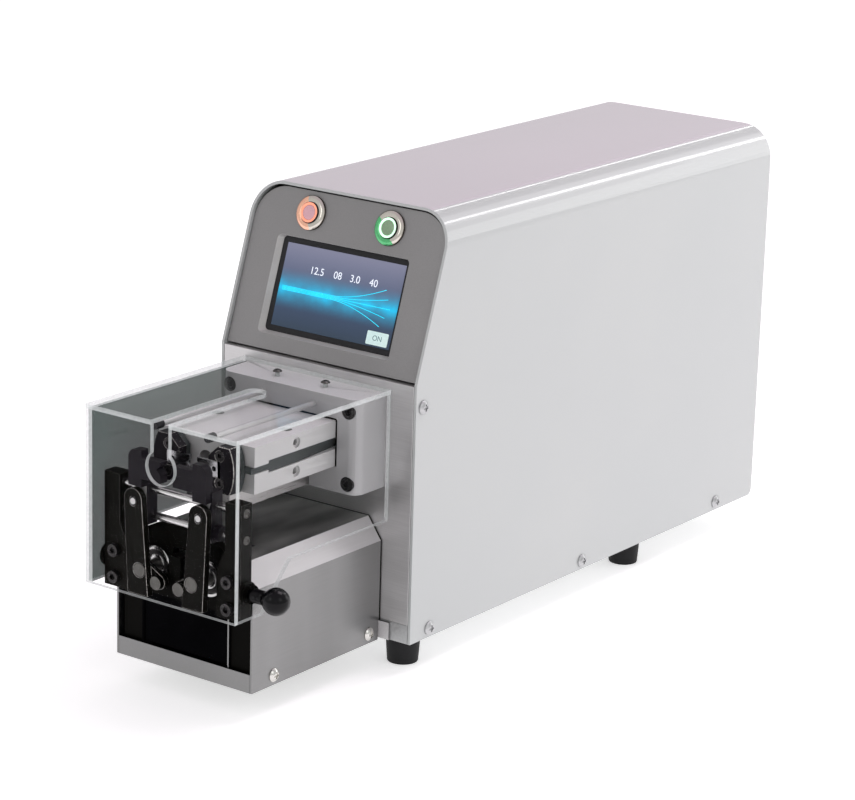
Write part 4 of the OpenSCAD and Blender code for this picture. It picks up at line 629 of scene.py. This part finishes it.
guard = {"half": 62.7, "front": 157.0, "rear": 1.0, "top": 172.5, "thick": 3.0, "low": 52.5,
         "sideLow": 82.6, "stepFront": 128.5, "stepRear": 102.0, "slotHalf": 7.25, "slotEnd": 64.25,
         "keyholeRadius": 11.5, "keyholeHeight": 142.0, "stemDepth": 139.7, "stemHeight": 68.5,
         "stemRadius": 6.0, "rimRadius": 6.6, "screwX": 20.3, "screwY": 16.5, "screwHole": 1.6,
         "ease": 0.22, "segments": 40}


def addGuard(settings):
    half, front, top, thick, low = (settings[key] for key in ("half", "front", "top", "thick", "low"))
    slot, radius, segments = settings["slotHalf"], settings["keyholeRadius"], settings["segments"]
    neck = math.degrees(math.acos(slot / radius))
    ridge = top - thick
    hole = settings["keyholeHeight"]
    neckUp = hole + math.sqrt(radius ** 2 - slot ** 2)
    frontPath = [(-half, low), (half, low), (half, ridge), (slot, ridge), (slot, neckUp),
                 (0, hole, -180 - 2 * neck, segments), (-slot, ridge), (-half, ridge)]
    inner = front - thick
    step = [(-inner, low), (-settings["stepFront"], low), (-settings["stepRear"], settings["sideLow"]),
            (-settings["rear"], settings["sideLow"]), (-settings["rear"], ridge), (-inner, ridge)]
    stem = [(settings["stemRadius"] - settings["stemDepth"], settings["stemHeight"]),
            (-settings["stemDepth"], settings["stemHeight"], 360, segments)]
    topPath = [(-half, -front), (-slot, -front), (-slot, -settings["slotEnd"]),
               (0, -settings["slotEnd"], -180, segments // 2), (slot, -front), (half, -front),
               (half, -settings["rear"]), (-half, -settings["rear"])]
    screwX, screwY = settings["screwX"], -settings["screwY"]
    holes = [[(x + settings["screwHole"], screwY), (x, screwY, 360, segments // 2)]
             for x in (-screwX, screwX)]
    sheets = [
        ("guardFront", [frontPath], planeAt(0, -inner, 0, (1, 0, 0), (0, 0, 1)), "clearSheet"),
        ("guardTop", [topPath, *holes], planeAt(0, 0, ridge, (1, 0, 0), (0, 1, 0)), "clearSheet"),
        ("guardRight", [step, stem], planeAt(half - thick, 0, 0, (0, 1, 0), (0, 0, 1)), "clearSheet"),
        # the left sheet's dark green finish is a painted reflection
        ("guardLeft", [step], planeAt(-half, 0, 0, (0, 1, 0), (0, 0, 1)), "sheetPaintedReflection"),
    ]
    for name, loops, plane, finish in sheets:
        work = cutSheet(loops, thick, plane, settings["ease"])
        for face in work.faces:  # the rim of the knob's hole is dark
            spot = inDrawing(face.calc_center_median())
            away = math.hypot(spot.y + settings["stemDepth"], spot.z - settings["stemHeight"])
            if away < settings["rimRadius"]:
                face.material_index = 2
        addPiece(work, name, bodyOf["guard"], [finish, "edgePaintedGlow", "deepBlack"],
                 ["guard"])


# Push buttons: steel heads with a lit ring round the cap

buttons = {"side": 33.0, "up": 97.0,
           "head": [(7.35, -2.6), (11.85, -2.6), (11.85, -1.25), (11.6, -0.9), (10.4, -0.28), (9.7, -0.04),
                    (9.1, 0.0), (7.9, 0.0), (7.5, -0.12), (7.35, -0.5)],
           "cap": [(0, -4.5), (7.2, -4.5), (7.2, 0.2), (7.05, 0.6), (6.8, 0.78), (6.4, 0.86), (5.6, 0.86),
                   (5.3, 0.78), (5.15, 0.5), (5.0, 0.5), (4.85, 0.72), (4.5, 0.8), (2.5, 0.76), (0, 0.74)],
           "ringInside": 5.2, "ringOutside": 6.9, "discOutside": 4.95, "rimInside": 11.7,
           "reflectionOutside": 11.2, "cutUp": 2.5, "cutDistance": 0.0000001}


def addButtons(settings):
    shank = bmesh.new()
    shank.from_mesh(frame["nodes"]["button_bodies"].data)
    bmesh.ops.remove_doubles(shank, verts=shank.verts, dist=eased["weld"])
    outward = panelFrame(0, settings["cutUp"], 0)
    normal = outward.to_3x3() @ Vector((0, 0, 1))
    bmesh.ops.bisect_plane(shank, geom=shank.verts[:] + shank.edges[:] + shank.faces[:],
                           dist=settings["cutDistance"], plane_co=outward.translation, plane_no=normal,
                           clear_outer=True)
    bmesh.ops.holes_fill(shank, edges=[edge for edge in shank.edges if edge.is_boundary], sides=0)
    addPiece(shank, "buttonShanks", bodyOf["button_bodies"], ["milled"],
             ["button_bodies"])
    for name, node, side, ring, disc, ringReflection, lean, far in (
            ("stop", "stop_cap", -1, "orangeRing", "pinkDisc", "orangeRingReflection", 0.25, -1.0),
            ("start", "start_cap", 1, "greenRing", "greenDisc", "greenRingReflection", 0.9, -3.0)):
        place = panelFrame(side * settings["side"], 0, settings["up"]) @ Matrix.Scale(0.001, 4)
        head = turned(settings["head"], Matrix(), closed=True)
        for face in head.faces:
            spot = face.calc_center_median()
            if spot.xy.length > settings["rimInside"]:
                face.material_index = 1
            elif spot.xy.length < settings["reflectionOutside"] and spot.x + lean * spot.y < far:
                face.material_index = 2  # painted reflection of the lit ring on the steel beside it
        head.transform(place)
        addPiece(head, name + "Head", bodyOf["button_bodies"],
                 ["headSteel", "headShade", ringReflection], ["button_bodies"], degrees=40)
        cap = turned(settings["cap"], Matrix(), [(settings["ringInside"], settings["ringOutside"], 1),
                                                 (0, settings["discOutside"], 2)])
        cap.transform(place)
        addPiece(cap, name + "Cap", bodyOf[node], ["darkScrew", ring, disc], [node],
                 degrees=50)


# Ball knob

knob = {"middle": 81.5, "depth": 139.7, "height": 68.5, "radius": 9.0, "collar": 4.8,
        "collarEase": (0.5, 0.4), "bore": 3.05, "boreDeep": 1.0, "segments": 18}


def addKnob(settings):
    radius, collar = settings["radius"], settings["collar"]
    start = math.asin(collar / radius)
    arc = [(radius * math.sin(start + (math.pi - start) * step / settings["segments"]),
            -radius * math.cos(start + (math.pi - start) * step / settings["segments"]))
           for step in range(settings["segments"] + 1)]
    bore, boreEnd = settings["bore"], settings["boreDeep"] - radius
    inward, upward = settings["collarEase"]
    outline = [(0, boreEnd), (bore, boreEnd), (bore, -radius), (collar - inward, -radius),
               (collar, upward - radius), *arc[:-1], (0, radius)]
    place = planeAt(settings["middle"], -settings["depth"], settings["height"], (0, 1, 0), (0, 0, 1))
    ball = turned(outline, place, steps=64)
    addPiece(ball, "ballKnob", bodyOf["ball_knob"], ["knobBlack"], ["ball_knob"],
             degrees=60)


# Ball bearings of the levers' shafts: bright races, a dark shield between them

bearing = {"side": 21.75, "face": 135.1, "up": 68.5, "shield": (6.9, 9.6), "shieldDeep": 1.0,
           "outline": [(4.02, 0), (4.3, -0.25), (6.4, -0.25), (6.7, 0), (6.9, 0.55), (7.6, 0.35),
                       (8.4, 0.3), (9.3, 0.5), (9.6, 0.55), (9.8, 0), (10.1, -0.3), (11.5, -0.3),
                       (12.0, 0.1), (12.0, 6.4), (11.7, 6.7), (4.02, 6.7)]}


def addBearings(settings):
    for side, name in ((-1, "bearingLeft"), (1, "bearingRight")):
        place = planeAt(side * settings["side"], -settings["face"], settings["up"], (1, 0, 0), (0, 0, -1))
        ring = turned(settings["outline"], Matrix(), closed=True)
        inside, outside = settings["shield"]
        for face in ring.faces:
            spot = face.calc_center_median()
            if inside < spot.xy.length < outside and spot.z < settings["shieldDeep"]:
                face.material_index = 1
        ring.transform(place)
        addPiece(ring, name, bodyOf["pivot_bearings"],
                 ["groundSteel", "darkScrew"], ["pivot_bearings"], degrees=40)


# Black strips that stand in for shade: painted shadow in the gap where the base box meets the front plate,
# and in the gap round the sliding head

baseGapShadow = {"half": 57.28, "low": 12.4, "chamferLow": 67.83, "topHalf": 46.34, "top": 83.08, "thick": 0.4,
         "deep": 1.1, "ease": 0.03}
headGapShadow = {"inner": 40.1, "outer": 41.3, "low": 122.3, "innerUp": 153.6, "outerUp": 154.8, "face": 29.98,
         "thick": 0.2, "innerRound": 0.8, "outerRound": 1.8, "segments": 6, "ease": 0.05}


def addBaseGapShadow(settings):
    half, topHalf, top, thick = (settings[key] for key in ("half", "topHalf", "top", "thick"))
    outer = [(half, settings["low"]), (half, settings["chamferLow"]), (topHalf, top)]
    inner = [(topHalf - thick, top - thick), (half - thick, settings["chamferLow"] - thick),
             (half - thick, settings["low"])]
    path = outer + [(-x, z) for x, z in reversed(outer)] + [(-x, z) for x, z in reversed(inner)] + inner
    work = cutSheet([path], settings["deep"], planeAt(0, 0, 0, (1, 0, 0), (0, 0, 1)), settings["ease"])
    # black strip: painted shadow of the gap between base and front plate
    addPiece(work, "baseGapShadowStrip", bodyOf["base_cover"], ["deepBlack", "deepBlack"])


def addHeadGapShadow(settings):
    path = []
    low, segments = settings["low"], settings["segments"]
    for rim, turn, first in (("outer", -90, -1), ("inner", 90, 1)):  # out over the head and back inside
        half, up, corner = settings[rim], settings[rim + "Up"], settings[rim + "Round"]
        path += [(first * half, low), (first * half, up - corner),
                 (first * (half - corner), up - corner, turn, segments), (-first * (half - corner), up),
                 (-first * (half - corner), up - corner, turn, segments), (-first * half, low)]
    work = cutSheet([path], settings["thick"], planeAt(0, -settings["face"], 0, (1, 0, 0), (0, 0, 1)),
                    settings["ease"])
    # black strip: painted shadow of the gap round the sliding head
    addPiece(work, "headGapShadowStrip", bodyOf["flange_block"], ["deepBlack", "deepBlack"])


addGuard(guard)
addBaseGapShadow(baseGapShadow)
addHeadGapShadow(headGapShadow)
addButtons(buttons)
addKnob(knob)
addBearings(bearing)
print("guard, buttons, knob and bearings")


# Screen

screen = {"middleUp": 47.0, "depth": 6.4, "thick": 1.1, "wide": 99.5, "tall": 56.5, "lift": 0.04,
          "relief": 0.05, "topColour": (0.145, 0.150, 0.215), "middleColour": (0.030, 0.052, 0.105),
          "lowColour": (0.018, 0.032, 0.055), "glowColour": (0.0, 0.46, 0.74), "glowHeight": 0.46,
          "glowReach": 0.26, "glowPower": 1.9, "strength": 0.75, "rough": 0.06, "cloudScale": 3.5,
          "cloudStretch": (1.6, 1, 1), "cloudLow": 0.45}
figures = [  # text, middle in mm from the screen's middle, height of the figures in mm, finish
    ("12.5", (-21.0, 12.5), 7.0, "screenWhite"), ("08", (-3.5, 12.5), 7.0, "screenWhite"),
    ("3.0", (11.0, 12.5), 7.0, "screenWhite"), ("40", (26.5, 12.5), 7.0, "screenWhite"),
    ("ON", (38.8, -22.6), 5.0, "screenInk")]
strands = {"count": 5, "start": -47.0, "fan": -4.0, "end": 44.0, "spread": 11.0, "bundle": 1.3,
           "width": 0.42, "middle": -2.3, "opening": 1.7, "shorter": 6.0, "segments": 30,
           "tile": (17.5, 9.0, 0.8), "tilePlace": (38.8, -22.6), "tileEase": 0.01}


def screenPlane(settings, depth):
    return panelFrame(0, depth, settings["middleUp"]) @ Matrix.Scale(0.001, 4)


def addScreen(settings):
    work = bmesh.new()
    size = Matrix.Diagonal((settings["wide"], settings["tall"], settings["thick"], 1))
    bmesh.ops.create_cube(work, size=1.0, matrix=size)
    layer = work.loops.layers.uv.new("picture")
    for face in work.faces:
        for loop in face.loops:
            spot = loop.vert.co
            loop[layer].uv = (spot.x / settings["wide"] + 0.5, spot.y / settings["tall"] + 0.5)
    work.transform(screenPlane(settings, settings["depth"] + settings["thick"] / 2))
    finish = screenFinish(settings)
    addPiece(work, "touchGlass", bodyOf["touch_glass"], [finish], ["touch_glass"])


def screenFinish(settings):
    finish = bpy.data.materials.new("litScreen")
    finish.use_nodes = True
    tree = finish.node_tree
    shader = tree.nodes["Principled BSDF"]
    shader.inputs["Roughness"].default_value = settings["rough"]
    place = tree.nodes.new("ShaderNodeUVMap")
    place.uv_map = "picture"
    split = tree.nodes.new("ShaderNodeSeparateXYZ")
    tree.links.new(place.outputs["UV"], split.inputs["Vector"])
    sky = tree.nodes.new("ShaderNodeValToRGB")
    sky.color_ramp.elements[0].color = (*settings["lowColour"], 1)
    sky.color_ramp.elements[1].color = (*settings["topColour"], 1)
    middle = sky.color_ramp.elements.new(settings["glowHeight"])
    middle.color = (*settings["middleColour"], 1)
    tree.links.new(split.outputs["Y"], sky.inputs["Fac"])
    clouds = linkNoise(tree, place.outputs["UV"], settings["cloudScale"], settings["cloudStretch"])
    away = tree.nodes.new("ShaderNodeMath")
    away.operation = "SUBTRACT"
    away.inputs[1].default_value = settings["glowHeight"]
    tree.links.new(split.outputs["Y"], away.inputs[0])
    distance = tree.nodes.new("ShaderNodeMath")
    distance.operation = "ABSOLUTE"
    tree.links.new(away.outputs["Value"], distance.inputs[0])
    glow = linkRange(tree, distance.outputs["Value"], 1.0, 0.0, 0.0, settings["glowReach"])
    curve = tree.nodes.new("ShaderNodeMath")
    curve.operation = "POWER"
    curve.inputs[1].default_value = settings["glowPower"]
    tree.links.new(glow, curve.inputs[0])
    patches = tree.nodes.new("ShaderNodeMath")
    patches.operation = "MULTIPLY"
    tree.links.new(curve.outputs["Value"], patches.inputs[0])
    tree.links.new(linkRange(tree, clouds, settings["cloudLow"], 1.0), patches.inputs[1])
    mix = tree.nodes.new("ShaderNodeMix")
    mix.data_type = "RGBA"
    mix.inputs["B"].default_value = (*settings["glowColour"], 1)
    tree.links.new(sky.outputs["Color"], mix.inputs["A"])
    tree.links.new(patches.outputs["Value"], mix.inputs["Factor"])
    tree.links.new(mix.outputs["Result"], shader.inputs["Base Color"])
    tree.links.new(mix.outputs["Result"], shader.inputs["Emission Color"])
    shader.inputs["Emission Strength"].default_value = settings["strength"]
    return finish


def flatMesh(curve, name, matrix):  # a text or curve as a mesh in place
    holder = bpy.data.objects.new(name, curve)
    bpy.context.scene.collection.objects.link(holder)
    bpy.context.view_layer.update()
    solid = holder.evaluated_get(bpy.context.evaluated_depsgraph_get())
    work = bmesh.new()
    work.from_mesh(solid.to_mesh())
    solid.to_mesh_clear()
    bpy.data.objects.remove(holder)
    work.transform(matrix)
    return work


def addFigures(settings):
    face = screenPlane(settings, settings["depth"] - settings["lift"])
    for index, (words, spot, height, finish) in enumerate(figures):
        text = bpy.data.curves.new("figures", "FONT")
        text.body = words
        text.size = height
        text.align_x = text.align_y = "CENTER"
        text.extrude = settings["relief"] / 2
        work = flatMesh(text, "figures", face @ Matrix.Translation((*spot, 0)))
        addPiece(work, f"screenFigures{index + 1}", bodyOf["touch_glass"], [finish])


def addStrands(settings, lines):  # a cable whose strands fan out, drawn on the screen
    face = screenPlane(settings, settings["depth"] - settings["lift"])
    curve = bpy.data.curves.new("strands", "CURVE")
    curve.dimensions = "3D"
    curve.bevel_depth = lines["width"] / 2
    curve.bevel_resolution = 1
    middle = (lines["count"] - 1) / 2
    for number in range(lines["count"]):
        share = (number - middle) / middle
        spline = curve.splines.new("POLY")
        spline.points.add(lines["segments"])
        for step, point in enumerate(spline.points):
            across = lines["start"] + (lines["end"] - lines["start"]) * step / lines["segments"]
            opened = max(0.0, (across - lines["fan"]) / (lines["end"] - lines["fan"]))
            lift = share * (lines["bundle"] + lines["spread"] * opened ** lines["opening"])
            point.co = (across - lines["shorter"] * abs(share) * opened, lines["middle"] + lift, 0, 1)
    flatter = Matrix.Diagonal((1, 1, settings["relief"] / lines["width"], 1))
    work = flatMesh(curve, "strands", face @ flatter)
    addPiece(work, "screenStrands", bodyOf["touch_glass"], ["screenCyan"])
    thick = settings["relief"] / 2
    tile = cutSheet([roundedPath(*lines["tile"])], thick,
                    face @ Matrix.Translation((*lines["tilePlace"], -thick)), lines["tileEase"])
    addPiece(tile, "screenTile", bodyOf["touch_glass"], ["screenTile", "screenTile"])


def roundedPath(wide, tall, radius, segments=6):  # rectangle with round corners about the origin
    x, y = wide / 2 - radius, tall / 2 - radius
    return [(-x, -tall / 2), (x, -tall / 2), (x, -y, 90, segments), (wide / 2, y), (x, y, 90, segments),
            (-x, tall / 2), (-x, y, 90, segments), (-wide / 2, -y), (-x, -y, 90, segments)]


addScreen(screen)
addFigures(screen)
addStrands(screen, strands)
print("screen")
